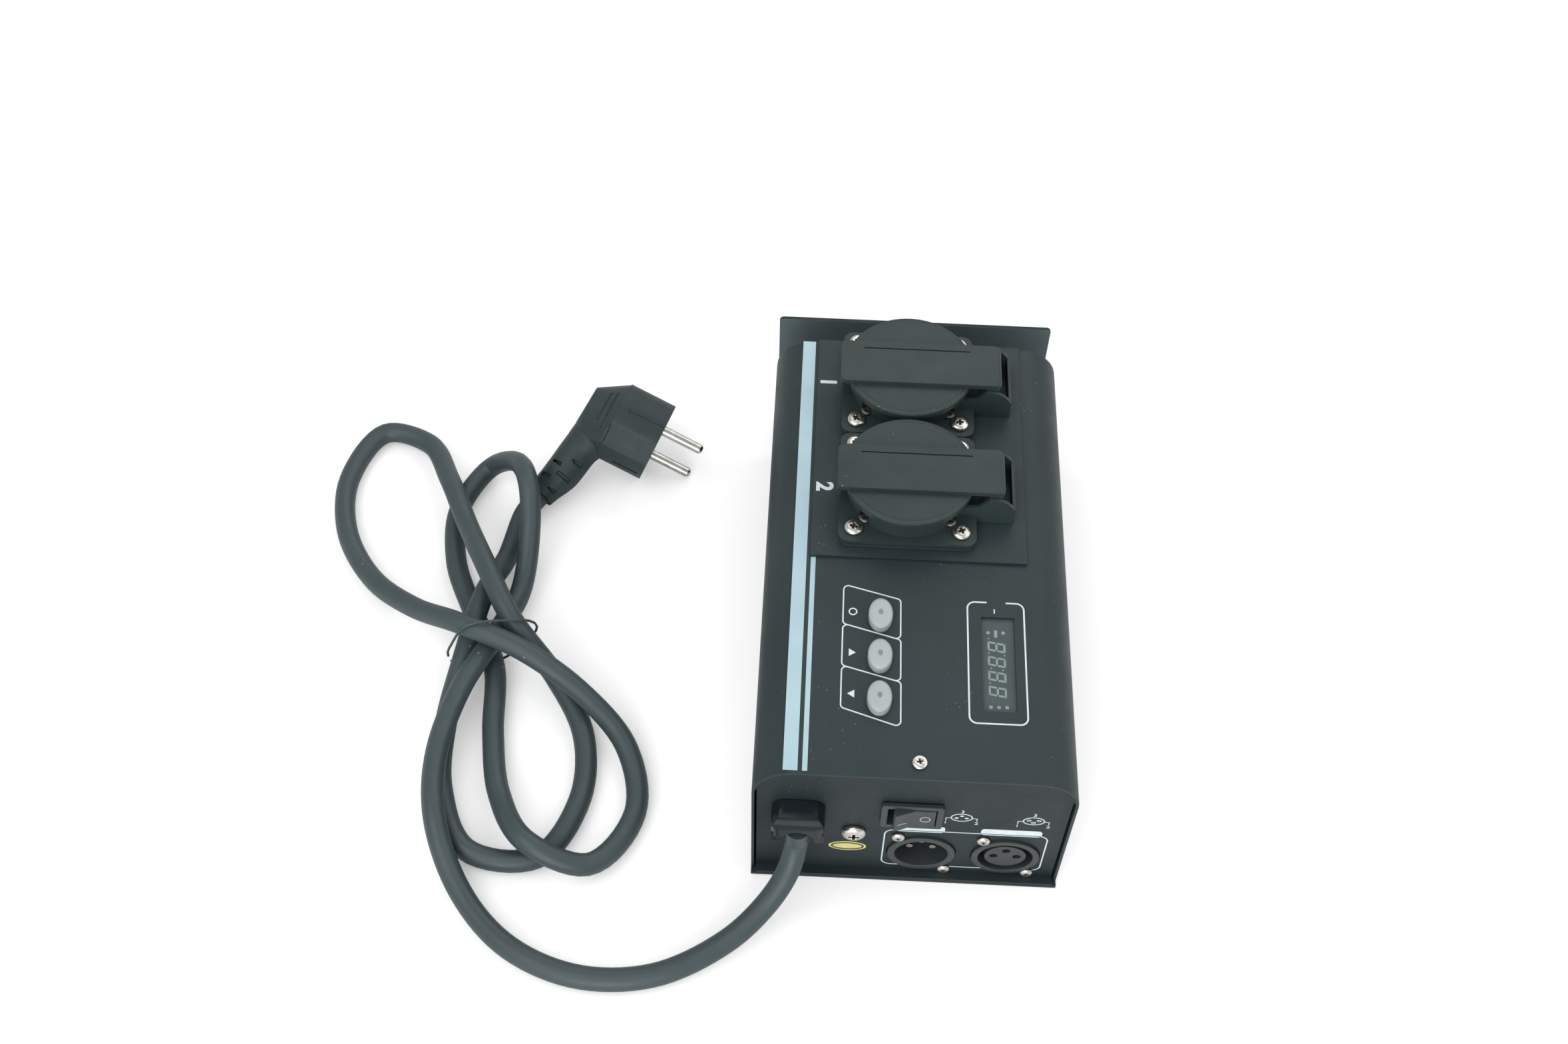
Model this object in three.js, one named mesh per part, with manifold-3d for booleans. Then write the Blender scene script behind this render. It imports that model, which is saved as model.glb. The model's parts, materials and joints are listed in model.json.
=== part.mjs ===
import * as THREE from 'three';
import { ConvexGeometry } from 'three/addons/geometries/ConvexGeometry.js';
import { mergeVertices } from 'three/addons/utils/BufferGeometryUtils.js';
import Module from 'manifold-3d';

// A two-channel dimmer pack: a sheet-steel box with two lidded earthed sockets, three buttons and a
// display on top, and a mains cord, a rocker switch and two control connectors at the front.
// Millimetres, +Z up, front to -Y. The origin is the centre of the base plate's underside.

// Fits
const seat = 0.3;
const overrun = 2;
const holeFit = 0.35;
const slideFit = 0.3;

// Casing
const caseWidth = 108.3;
const caseHeight = 72;
const coverSheet = 1;
const coverRadius = 14.5;
const baseSheet = 1.5;
const lipReach = 2.2;
const flangeGap = 24;
const flangeHeight = 58;
const flangeBend = 2.5;
const flangeCorner = 1.5;
const hangingHole = 11;
const hangingHoleHeight = 35;
const panelSheet = 1.2;
const panelRecess = 1.2;
const panelSideGap = 1.2;
const panelTabDepth = 12;
const panelTabWidth = 30;
const socketPlateSheet = 0.9;
const socketPlateLeftInset = 1.55;
const socketPlateRightInset = 1.35;
const socketPlateFront = 86.3;

// Sockets: the parts round the collar keep their distance from it
const socketX = -4.16;
const socketFrontGap = 3.85;
const socketGap = 0.4;
const socketFlangeCorner = 3.5;
const socketFlangeThickness = 3.5;
const socketFlangeGroove = 0.4;
const collarDiameter = 43.5;
const collarHeight = 7;
const barrelStep = 1.15;
const barrelWall = 1;
const wellDepth = 17.5;
const ledgeThickness = 1.5;
const ledgeWidth = 2.5;
const insertFloor = 1;
const flangeScrewInset = 5.45;
const screwHeadGap = 0.37;
const clampScrewInset = 0.65;
const clampScrewAngle = 43.8;
const clampPocketWall = 0.5;
const earthStripWidth = 6;
const earthStripSheet = 0.8;
const earthStripRise = 11.5;
const earthStripBow = 2.1;

// Lid and hinge
const lidOverhang = 2;
const lidThickness = 2.8;
const lidEdge = 0.5;
const strapWidth = 19.5;
const strapBeyondHinge = 4.1;
const strapRise = 1.9;
const strapThickness = 2.4;
const strapBend = 3.6;
const strapLip = 5.6;
const strapLipSheet = 1.8;
const strapEndSheet = 1.4;
const strapCorner = 2.3;
const strapGrooveY = 6.3;
const strapGrooveLeft = 17.14;
const strapGrooveRight = 22.36;
const strapGrooveSize = 0.5;
const strapBeforeCollar = 3.79;
const hingeBeyondCollar = 8.01;
const hingeDrop = 1.6;
const hingePinDiameter = 2.2;
const knuckleRadius = 3;
const knuckleLength = 4.5;
const housingLeft = 5;
const housingRight = 8.2;
const housingCheek = 1.3;
const housingWall = 1;
const housingFloor = 1.5;
const housingCrown = 4.1;
const housingRadius = 8;
const housingWallDrop = 0.9;
const springWire = 0.8;
const springRadius = 1.9;
const springPitch = 1.3;
const springTurns = 6;
const springLeg = 4.6;

// Screws: head diameter, head height and thread diameter
const flangeScrewHead = 6.6;
const flangeScrewRise = 1.9;
const flangeScrewThread = 3.2;
const flangeScrewLength = 10;
const smallScrewHead = 4.2;
const smallScrewRise = 1.3;
const smallScrewThread = 2;
const smallScrewLength = 3.3;
const connectorScrewHead = 4.7;
const connectorScrewRise = 1.6;
const connectorScrewThread = 2.6;
const connectorScrewLength = 6;
const coverScrewHead = 5.2;
const coverScrewRise = 1.1;
const coverScrewThread = 2.8;
const coverScrewLength = 6;
const coverScrewX = 0.5;
const coverScrewFront = 5.9;
const earthScrewHead = 8.5;
const earthScrewRise = 2.6;
const earthScrewThread = 3.6;
const earthScrewLength = 9;
const earthScrewX = -19;
const earthScrewHeight = 31;

// Top controls, placed from the cover's front edge
const buttonX = -13;
const buttonFront = 29.1;
const buttonPitch = 16.5;
const buttonWidth = 8.2;
const buttonLength = 12;
const buttonRise = 3.5;
const buttonDimple = 0.5;
const buttonCollar = 0.9;
const buttonCollarSheet = 1;
const buttonTravel = 0.5;
const buttonPlay = 0.1;
const buttonStem = 4;
const windowFromSide = 21.15;
const windowWidth = 11.3;
const windowFront = 26.7;
const windowBack = 64.1;
const moduleMargin = 1.6;
const boardSheet = 1.6;
const boardDepthBelow = 12;
const boardMargin = 7;
const boardStud = 5;
const switchSize = 6;
const switchHeight = 3.5;
const switchPlunger = 3.5;

// Rocker switch, placed from the panel's face
const rockerX = -0.1;
const rockerHeight = 46;
const bezelWidth = 21;
const bezelHeight = 15;
const bezelSheet = 1.7;
const bezelCorner = 1;
const switchBodyWidth = 19;
const switchBodyHeight = 13;
const switchBodyDepth = 17;
const rockerLength = 10.7;
const rockerPivot = 2.3;
const rockerHalf = 7.3;
const rockerTip = 5.8;
const rockerValley = 4.7;
const rockerRoot = 3;
const rockerTilt = 10;
const rockerPin = 2.2;
const rockerPinReach = 0.6;

// Control connectors, placed from the panel's face
const outputFromSide = 19.75;
const connectorPitch = 29.3;
const connectorHeight = 17.2;
const ringDiameter = 23.7;
const ringProud = 1;
const shellFlangeWidth = 24.4;
const shellFlangeHeight = 27.6;
const shellFlangeSheet = 2;
const shellDiameter = 21.9;
const shellDepth = 20;
const shellFloor = 2;
const maleMouth = 18.9;
const maleThroat = 16.6;
const maleDepth = 14;
const femaleBore = 19.2;
const femaleInsert = 14.6;
const femaleRecess = 0.6;
const contactCircle = 4;
const contactPin = 2.4;
const contactPinLength = 11;
const contactHole = 2.9;
const contactHoleDepth = 12;
const connectorScrewX = 8.7;
const connectorScrewZ = 11.5;

// Cord, gland and plug
const cordDiameter = 8.2;
const glandFromSide = 15.85;
const glandWidth = 18.2;
const glandBottom = 36.5;
const glandTop = 52;
const glandProud = 9.5;
const glandMouth = 41;
const glandChannel = 9.4;
const glandCorner = 3.2;
const glandNose = 1.5;
const glandNeck = 12.4;
const glandNeckHeight = 44.5;
const glandNeckReach = 8;
const cordFromPanel = 5.2;
const plugDiameter = 33;
const plugDrum = 19.9;
const plugPinDiameter = 4;
const plugPinLength = 17.5;
const plugPinSpacing = 19;
const plugPinSocket = 6;
const tieWire = 1;

// Inside
const mainBoardSideGap = 4.85;
const mainBoardSetback = 32;
const mainBoardLength = 148;
const mainBoardRise = 8.5;
const mainBoardSheet = 1.6;
const mainBoardMargin = 6;
const studDiameter = 6;
const sinkLength = 70;
const sinkHeight = 24;
const sinkSheet = 2.4;
const sinkFin = 7;
const sinkSpacing = 7.4;
const triacWidth = 15;
const triacHeight = 18;
const triacSheet = 4.6;
const triacSpacing = 32;
const chokeDiameter = 25;
const chokeBore = 11;
const chokeHeight = 11;
const chokeGap = 4;
const transformerLength = 32;
const transformerWidth = 26;
const transformerHeight = 23;
const terminalLength = 30;
const terminalWidth = 12;
const terminalHeight = 14;
const partsRowInset = 14;

const wasm = await Module();
wasm.setup();

// Solids joined, cut and kept in common; every shape is a closed BufferGeometry.
function solidOf(geometry) {
  const bare = geometry.clone();
  bare.deleteAttribute('normal');
  bare.deleteAttribute('uv');
  const merged = mergeVertices(bare, 1e-4);
  const corners = [];
  for (let i = 0; i < merged.index.count; i += 3) {
    const [a, b, c] = [0, 1, 2].map((step) => merged.index.getX(i + step));
    if (a !== b && b !== c && a !== c) corners.push(a, b, c);
  }
  return new wasm.Manifold(new wasm.Mesh({
    numProp: 3,
    vertProperties: new Float32Array(merged.attributes.position.array),
    triVerts: new Uint32Array(corners),
  }));
}

function geometryOf(solid) {
  const mesh = solid.getMesh();
  const geometry = new THREE.BufferGeometry();
  geometry.setAttribute('position', new THREE.BufferAttribute(mesh.vertProperties, 3));
  geometry.setIndex(new THREE.BufferAttribute(mesh.triVerts, 1));
  geometry.computeVertexNormals();
  return geometry;
}

function join(...shapes) {
  return geometryOf(shapes.slice(1).reduce((sum, shape) => sum.add(solidOf(shape)), solidOf(shapes[0])));
}

function cut(body, ...tools) {
  return geometryOf(tools.reduce((rest, tool) => rest.subtract(solidOf(tool)), solidOf(body)));
}

function common(a, b) {
  return geometryOf(solidOf(a).intersect(solidOf(b)));
}

// Outlines are lists of points.
function arc(x, y, radius, from, to, steps) {
  return Array.from({ length: steps + 1 }, (_, i) => {
    const angle = THREE.MathUtils.degToRad(from + ((to - from) * i) / steps);
    return [x + radius * Math.cos(angle), y + radius * Math.sin(angle)];
  });
}

function rounded(x, y, width, height, radius, steps = 3) {
  const right = x + width / 2 - radius;
  const left = x - width / 2 + radius;
  const top = y + height / 2 - radius;
  const bottom = y - height / 2 + radius;
  return [
    ...arc(right, bottom, radius, -90, 0, steps),
    ...arc(right, top, radius, 0, 90, steps),
    ...arc(left, top, radius, 90, 180, steps),
    ...arc(left, bottom, radius, 180, 270, steps),
  ];
}

// An outline drawn out along an axis: across X it is (y, z), along Y it is (x, z), up Z it is (x, y).
function drawn(axis, points, from, to) {
  const shape = new THREE.Shape(points.map(([a, b]) => new THREE.Vector2(a, b)));
  const geometry = new THREE.ExtrudeGeometry(shape, { depth: to - from, bevelEnabled: false });
  if (axis === 'z') return geometry.translate(0, 0, from);
  if (axis === 'y') return geometry.rotateX(Math.PI / 2).translate(0, to, 0);
  const turn = new THREE.Matrix4().makeBasis(
    new THREE.Vector3(0, 1, 0),
    new THREE.Vector3(0, 0, 1),
    new THREE.Vector3(1, 0, 0),
  );
  return geometry.applyMatrix4(turn).translate(from, 0, 0);
}

function block(x0, x1, y0, y1, z0, z1) {
  return new THREE.BoxGeometry(x1 - x0, y1 - y0, z1 - z0)
    .translate((x0 + x1) / 2, (y0 + y1) / 2, (z0 + z1) / 2);
}

// A round bar along an axis; a and b place it across that axis.
function rod(axis, radius, from, to, a = 0, b = 0, sides = 20, endRadius = radius) {
  const bar = new THREE.CylinderGeometry(endRadius, radius, to - from, sides);
  const middle = (from + to) / 2;
  if (axis === 'z') return bar.rotateX(Math.PI / 2).translate(a, b, middle);
  if (axis === 'y') return bar.translate(a, middle, b);
  return bar.rotateZ(-Math.PI / 2).translate(middle, a, b);
}

// A profile of (radius, height) pairs from the lower axis point to the upper one, turned about Z.
function turned(profile, sides = 24) {
  return new THREE.LatheGeometry(profile.map(([r, z]) => new THREE.Vector2(r, z)), sides)
    .rotateX(Math.PI / 2);
}

function material(color, roughness, metalness) {
  return new THREE.MeshStandardMaterial({ color, roughness, metalness, flatShading: true });
}

const paintedSteel = material('#2d3232', 0.55, 0.3);
const blackPlastic = material('#1c1f1f', 0.5, 0);
const softPlastic = material('#191c1c', 0.6, 0);
const brightScrew = material('#c9c6bb', 0.3, 1);
const spring = material('#a8a9a8', 0.35, 1);
const buttonPlastic = material('#8d8f8a', 0.45, 0);
const displayPlastic = material('#5b6464', 0.2, 0);
const boardGreen = material('#1f5a35', 0.5, 0);
const pinMetal = material('#c6c2b0', 0.25, 1);
const silverContact = material('#b9b7ae', 0.3, 1);
const aluminium = material('#9b9e9f', 0.4, 1);
const ferrite = material('#5a4a2c', 0.6, 0.2);
const terminalGreen = material('#2b6a4b', 0.5, 0);
const cordRubber = material('#262b2b', 0.6, 0);

const pack = new THREE.Group();

function groupAt(parent, x, y, z) {
  const group = new THREE.Group();
  group.position.set(x, y, z);
  parent.add(group);
  return group;
}

function piece(parent, name, geometry, look) {
  const mesh = new THREE.Mesh(geometry, look);
  mesh.name = name;
  parent.add(mesh);
  return mesh;
}

// Shared levels and edges
const barrelDiameter = collarDiameter - 2 * barrelStep;
const wellDiameter = barrelDiameter - 2 * barrelWall;
const barrelHole = barrelDiameter / 2 + seat;
const clampScrewRadius = collarDiameter / 2 - clampScrewInset;
const flangeScrewRadius = clampScrewRadius + (flangeScrewHead + smallScrewHead) / 2 + screwHeadGap;
const screwSquare = flangeScrewRadius * Math.SQRT2;
const socketFlange = screwSquare + 2 * flangeScrewInset;
const socketPitch = socketFlange + socketGap;
const socketFront = socketPlateFront + socketFrontGap + socketFlange / 2;
const behindSocket = Math.max(barrelHole, (screwSquare + flangeScrewThread) / 2 + seat);
const coverDepth = socketFront + socketPitch + behindSocket + panelSheet + panelRecess;
const baseDepth = lipReach + coverDepth + flangeGap + baseSheet;
const baseFront = -baseDepth / 2;
const baseBack = baseDepth / 2;
const coverFront = baseFront + lipReach;
const coverBack = coverFront + coverDepth;
const coverUnder = caseHeight - coverSheet;
const floorTop = baseSheet + seat;
const plateTop = caseHeight + seat + socketPlateSheet;
const innerHalf = caseWidth / 2 - coverSheet - seat;
const innerTop = coverUnder - seat;
const innerRadius = coverRadius - coverSheet - seat;
const halfPanel = innerHalf - panelSideGap;
const frontFace = coverFront + panelRecess;
const rearFace = coverBack - panelRecess;
const flatHalf = caseWidth / 2 - coverRadius;
const windowRight = caseWidth / 2 - windowFromSide;
const windowLeft = windowRight - windowWidth;
const outputX = caseWidth / 2 - outputFromSide;
const inputX = outputX - connectorPitch;
const glandX = glandFromSide - caseWidth / 2;
const mainBoardHalf = innerHalf - mainBoardSideGap;
const partsRowX = mainBoardHalf - partsRowInset;
const socketRows = [coverFront + socketFront + socketPitch, coverFront + socketFront];
const lidDiameter = collarDiameter + 2 * lidOverhang;
const hingeX = collarDiameter / 2 + hingeBeyondCollar;
const strapRight = hingeX + strapBeyondHinge;
const strapLeft = -collarDiameter / 2 - strapBeforeCollar;
const screwCorners = [[-1, -1], [1, -1], [1, 1], [-1, 1]];
const clampAngles = [180 + clampScrewAngle, 360 - clampScrewAngle];

function polar(radius, degrees) {
  const angle = THREE.MathUtils.degToRad(degrees);
  return [radius * Math.cos(angle), radius * Math.sin(angle)];
}

// Screws point their heads along +Z, with the underside of the head at zero.
const recessWidthShare = 0.16;
const recessReachShare = 0.56;
const recessDepthShare = 0.6;
const domeShares = [[1, 0], [1, 0.35], [0.68, 0.87], [0, 1]];

function screw(head, rise, thread, length) {
  const radius = head / 2;
  const dome = domeShares.map(([across, up]) => [radius * across, rise * up]);
  const body = turned([[0, -length], [thread / 2, -length], [thread / 2, 0], ...dome], 12);
  const wide = radius * recessReachShare;
  const thin = radius * recessWidthShare;
  const floor = rise * (1 - recessDepthShare);
  const cross = join(
    block(-wide, wide, -thin, thin, floor, rise + overrun),
    block(-thin, thin, -wide, wide, floor, rise + overrun),
  );
  return cut(body, cross);
}

// Sheet-metal casing
function archOutline(half, bottom, top, radius, steps = 8) {
  return [
    [half, bottom],
    ...arc(half - radius, top - radius, radius, 0, 90, steps),
    ...arc(-half + radius, top - radius, radius, 90, 180, steps),
    [-half, bottom],
  ];
}

const boardX0 = buttonX - boardMargin;
const boardX1 = windowRight + moduleMargin + boardMargin / 2;
const boardY0 = coverFront + windowFront - moduleMargin - boardMargin;
const boardY1 = coverFront + windowBack + moduleMargin + boardMargin;
const boardTop = coverUnder - boardDepthBelow + boardSheet / 2;
const studXs = [boardX0 + boardStud / 2, boardX1 - boardStud / 2];
const studYs = [boardY0 + boardStud / 2, boardY1 - boardStud / 2];
const coverStuds = studXs.flatMap((x) => studYs.map((y) => [x, y]));
const mainBoardFront = coverFront + mainBoardSetback;
const mainBoardBack = mainBoardFront + mainBoardLength;
const boardStuds = [-1, 1].flatMap((side) => [
  [side * (mainBoardHalf - mainBoardMargin), mainBoardFront + mainBoardMargin],
  [side * (mainBoardHalf - mainBoardMargin), mainBoardBack - mainBoardMargin],
]);

function basePlate() {
  const innerBend = flangeBend;
  const outerBend = flangeBend + baseSheet;
  const side = [
    [baseFront, 0],
    ...arc(baseBack - outerBend, outerBend, outerBend, -90, 0, 5),
    [baseBack, flangeHeight],
    [baseBack - baseSheet, flangeHeight],
    ...arc(baseBack - outerBend, outerBend, innerBend, 0, -90, 5),
    [baseFront, baseSheet],
  ];
  const sheet = drawn('x', side, -caseWidth / 2, caseWidth / 2);
  const face = [
    [-caseWidth / 2, -overrun],
    [caseWidth / 2, -overrun],
    ...arc(caseWidth / 2 - flangeCorner, flangeHeight - flangeCorner, flangeCorner, 0, 90, 2),
    ...arc(-caseWidth / 2 + flangeCorner, flangeHeight - flangeCorner, flangeCorner, 90, 180, 2),
  ];
  const trimmed = common(sheet, drawn('y', face, baseFront - overrun, baseBack + overrun));
  const hole = rod(
    'y',
    hangingHole / 2,
    baseBack - baseSheet - overrun,
    baseBack + overrun,
    0,
    hangingHoleHeight,
  );
  const studs = boardStuds.map(([x, y]) => (
    rod('z', studDiameter / 2, baseSheet / 2, baseSheet + mainBoardRise, x, y, 8)
  ));
  return join(cut(trimmed, hole), ...studs);
}

function cover() {
  const outer = archOutline(caseWidth / 2, floorTop, caseHeight, coverRadius);
  const inner = archOutline(
    caseWidth / 2 - coverSheet,
    floorTop - overrun,
    coverUnder,
    coverRadius - coverSheet,
  );
  const shell = cut(
    drawn('y', outer, coverFront, coverBack),
    drawn('y', inner, coverFront - overrun, coverBack + overrun),
  );
  const studs = coverStuds.map(([x, y]) => (
    rod('z', boardStud / 2, boardTop + seat, coverUnder + coverSheet / 2, x, y, 8)
  ));
  const holes = topHoles(coverUnder - overrun, caseHeight + overrun);
  return cut(join(shell, ...studs), ...holes, ...controlHoles());
}

// Holes that the cover and the socket plate share
function topHoles(from, to) {
  return socketRows.flatMap((y) => [
    rod('z', barrelHole, from, to, socketX, y, 24),
    ...screwCorners.map(([sx, sy]) => rod(
      'z',
      flangeScrewThread / 2 + holeFit,
      from,
      to,
      socketX + (sx * screwSquare) / 2,
      y + (sy * screwSquare) / 2,
      8,
    )),
  ]);
}

function controlHoles() {
  const from = coverUnder - overrun;
  const to = caseHeight + overrun;
  const buttons = [0, 1, 2].map((i) => (
    rod('z', buttonWidth / 2 + slideFit, from, to, 0, 0, 24)
      .scale(1, (buttonLength / 2 + slideFit) / (buttonWidth / 2 + slideFit), 1)
      .translate(buttonX, coverFront + buttonFront + i * buttonPitch, 0)
  ));
  const window = block(windowLeft, windowRight, coverFront + windowFront, coverFront + windowBack, from, to);
  const screwHole = rod(
    'z',
    coverScrewThread / 2 + holeFit,
    from,
    to,
    coverScrewX,
    coverFront + coverScrewFront,
    12,
  );
  return [...buttons, window, screwHole];
}

function panelOutline() {
  const shoulder = innerTop - innerRadius;
  return [
    [halfPanel, floorTop],
    [halfPanel, shoulder],
    ...arc(innerHalf - innerRadius, innerTop - innerRadius, innerRadius, 0, 90, 8),
    ...arc(-innerHalf + innerRadius, innerTop - innerRadius, innerRadius, 90, 180, 8),
    [-halfPanel, shoulder],
    [-halfPanel, floorTop],
  ];
}

function frontPanel() {
  const back = frontFace + panelSheet;
  const plate = drawn('y', panelOutline(), frontFace, back);
  const foot = block(
    -halfPanel,
    halfPanel,
    baseFront,
    frontFace + panelSheet / 2,
    floorTop,
    floorTop + panelSheet,
  );
  const tab = block(
    coverScrewX - panelTabWidth / 2,
    coverScrewX + panelTabWidth / 2,
    frontFace + panelSheet / 2,
    back + panelTabDepth,
    innerTop - panelSheet,
    innerTop,
  );
  const from = frontFace - overrun;
  const to = back + overrun;
  const holes = [inputX, outputX].flatMap((x) => [
    rod('y', ringDiameter / 2 + seat, from, to, x, connectorHeight, 32),
    ...[-1, 1].map((side) => rod(
      'y',
      connectorScrewThread / 2 + holeFit,
      from,
      to,
      x + side * connectorScrewX,
      connectorHeight - side * connectorScrewZ,
      12,
    )),
  ]);
  const rockerHole = block(
    rockerX - switchBodyWidth / 2 - seat,
    rockerX + switchBodyWidth / 2 + seat,
    from,
    to,
    rockerHeight - switchBodyHeight / 2 - seat,
    rockerHeight + switchBodyHeight / 2 + seat,
  );
  const glandHole = rod('y', glandNeck / 2 + seat, from, to, glandX, glandNeckHeight, 24);
  const earthHole = rod('y', earthScrewThread / 2 + holeFit, from, to, earthScrewX, earthScrewHeight, 12);
  const screwHole = rod(
    'z',
    coverScrewThread / 2 + holeFit,
    innerTop - panelSheet - overrun,
    innerTop + overrun,
    coverScrewX,
    coverFront + coverScrewFront,
    12,
  );
  return cut(join(plate, foot, tab), ...holes, rockerHole, glandHole, earthHole, screwHole);
}

function rearPanel() {
  const inside = rearFace - panelSheet;
  const plate = drawn('y', panelOutline(), inside, rearFace);
  const foot = block(
    -halfPanel,
    halfPanel,
    inside - panelTabDepth / 2,
    rearFace - panelSheet / 2,
    floorTop,
    floorTop + panelSheet,
  );
  return join(plate, foot);
}

function socketPlate() {
  const sheet = block(
    socketPlateLeftInset - flatHalf,
    flatHalf - socketPlateRightInset,
    coverFront + socketPlateFront,
    coverBack,
    caseHeight + seat,
    plateTop,
  );
  return cut(sheet, ...topHoles(caseHeight - overrun, plateTop + overrun));
}

piece(pack, 'base_plate', basePlate(), paintedSteel);
piece(pack, 'cover', cover(), paintedSteel);
piece(pack, 'front_panel', frontPanel(), paintedSteel);
piece(pack, 'rear_panel', rearPanel(), paintedSteel);
piece(pack, 'socket_plate', socketPlate(), paintedSteel);

// Sockets: heights from the underside of the flange
const collarTop = socketFlangeThickness + collarHeight;
const wellFloor = collarTop - wellDepth;
const insertHeight = plugPinLength + insertFloor + seat;
const insertBottom = wellFloor - insertHeight;
const barrelBottom = insertBottom - seat - ledgeThickness;
const lidUnder = collarTop + seat;
const lidTop = lidUnder + lidThickness;
const strapTop = lidTop + strapRise;
const strapUnder = strapTop - strapThickness;
const hingeZ = collarTop - hingeDrop;
const cheekInner = strapWidth / 2 + slideFit;
const cheekOuter = cheekInner + housingCheek;
const clampHead = smallScrewHead / 2;

function socketBody() {
  const half = socketFlangeThickness / 2;
  const groove = socketFlangeGroove / 2;
  const outline = rounded(0, 0, socketFlange, socketFlange, socketFlangeCorner);
  const waist = rounded(
    0,
    0,
    socketFlange - 2 * socketFlangeGroove,
    socketFlange - 2 * socketFlangeGroove,
    socketFlangeCorner,
  );
  const lower = drawn('z', outline, 0, half - groove);
  const middle = drawn('z', waist, groove, socketFlangeThickness - groove);
  const upper = drawn('z', outline, half + groove, socketFlangeThickness);
  const collar = rod('z', collarDiameter / 2, half, collarTop, 0, 0, 32);
  const barrel = rod('z', barrelDiameter / 2, barrelBottom, half, 0, 0, 24);
  const bulges = clampAngles.map((angle) => {
    const [x, y] = polar(clampScrewRadius, angle);
    const radius = clampHead + holeFit + clampPocketWall;
    return common(
      rod('z', radius, half, collarTop, x, y, 16),
      rod('z', collarDiameter / 2, half, collarTop, 0, 0, 32),
    );
  });
  const well = cut(
    rod('z', wellDiameter / 2, insertBottom - seat, collarTop + overrun, 0, 0, 32),
    ...bulges,
  );
  const flangeHoles = screwCorners.map(([sx, sy]) => rod(
    'z',
    flangeScrewThread / 2 + holeFit,
    -overrun,
    socketFlangeThickness + overrun,
    (sx * screwSquare) / 2,
    (sy * screwSquare) / 2,
    12,
  ));
  const pockets = clampAngles.flatMap((angle) => {
    const [x, y] = polar(clampScrewRadius, angle);
    return [
      rod('z', clampHead + holeFit, socketFlangeThickness, collarTop + overrun, x, y, 16),
      rod('z', smallScrewThread / 2 + holeFit, socketFlangeThickness - smallScrewLength, collarTop, x, y, 10),
    ];
  });
  return cut(
    join(lower, middle, upper, collar, barrel, hingeHousing()),
    well,
    rod('z', wellDiameter / 2 - ledgeWidth, barrelBottom - overrun, wellFloor, 0, 0, 24),
    ...flangeHoles,
    ...pockets,
  );
}

// The cheeks run back to the collar as ribs
const ribShare = 0.84;

function hingeHousing() {
  const left = hingeX - housingLeft;
  const right = hingeX + housingRight;
  const crown = hingeZ + housingCrown;
  const centreX = right - housingRadius;
  const centreZ = crown - housingRadius;
  const inner = (collarDiameter / 2) * ribShare;
  const cheek = [
    [inner, 0],
    [right, 0],
    ...arc(centreX, centreZ, housingRadius, 0, 100, 6),
    [left, hingeZ - seat],
    [inner, hingeZ - seat],
  ];
  const cheeks = [-1, 1].map((side) => {
    const [from, to] = [side * cheekInner, side * cheekOuter].sort((a, b) => a - b);
    return drawn('y', cheek, from, to);
  });
  const wall = block(right - housingWall, right, -cheekOuter, cheekOuter, 0, hingeZ - housingWallDrop);
  const floor = block(inner, right, -cheekOuter, cheekOuter, 0, housingFloor);
  const pinHole = rod(
    'y',
    hingePinDiameter / 2 + slideFit,
    -cheekOuter + seat,
    cheekOuter + overrun,
    hingeX,
    hingeZ,
    16,
  );
  return cut(join(...cheeks, wall, floor), pinHole);
}

const stripHalf = wellDiameter / 2 - 2 * seat;

function socketInsert() {
  const body = rod('z', wellDiameter / 2 - seat, insertBottom, wellFloor, 0, 0, 32);
  const holes = [-1, 1].map((side) => rod(
    'z',
    plugPinDiameter / 2 + slideFit,
    wellFloor - plugPinLength,
    wellFloor + overrun,
    0,
    (side * plugPinSpacing) / 2,
    16,
  ));
  const groove = block(
    -wellDiameter / 2,
    wellDiameter / 2,
    -earthStripWidth / 2 - slideFit,
    earthStripWidth / 2 + slideFit,
    wellFloor - earthStripSheet - seat,
    wellFloor + overrun,
  );
  return cut(body, ...holes, groove);
}

// The earth strip lies in the insert's groove and rises at both sides of the well, bowed inwards.
const bowShare = 0.65;

function earthStrip() {
  const bottom = wellFloor - earthStripSheet;
  const bowAt = bottom + earthStripRise * bowShare;
  const top = bottom + earthStripRise;
  const outer = stripHalf;
  const inner = outer - earthStripSheet;
  const half = (side) => [
    [side * outer, bottom],
    [side * (outer - earthStripBow / 2), bowAt - earthStripRise / 4],
    [side * (outer - earthStripBow), bowAt],
    [side * (outer - earthStripBow / 2), top],
    [side * (inner - earthStripBow / 2), top],
    [side * (inner - earthStripBow), bowAt],
    [side * (inner - earthStripBow / 2), bowAt - earthStripRise / 4],
    [side * inner, bottom + earthStripSheet],
  ];
  return drawn('y', [...half(1), ...half(-1).reverse()], -earthStripWidth / 2, earthStripWidth / 2);
}

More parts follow.
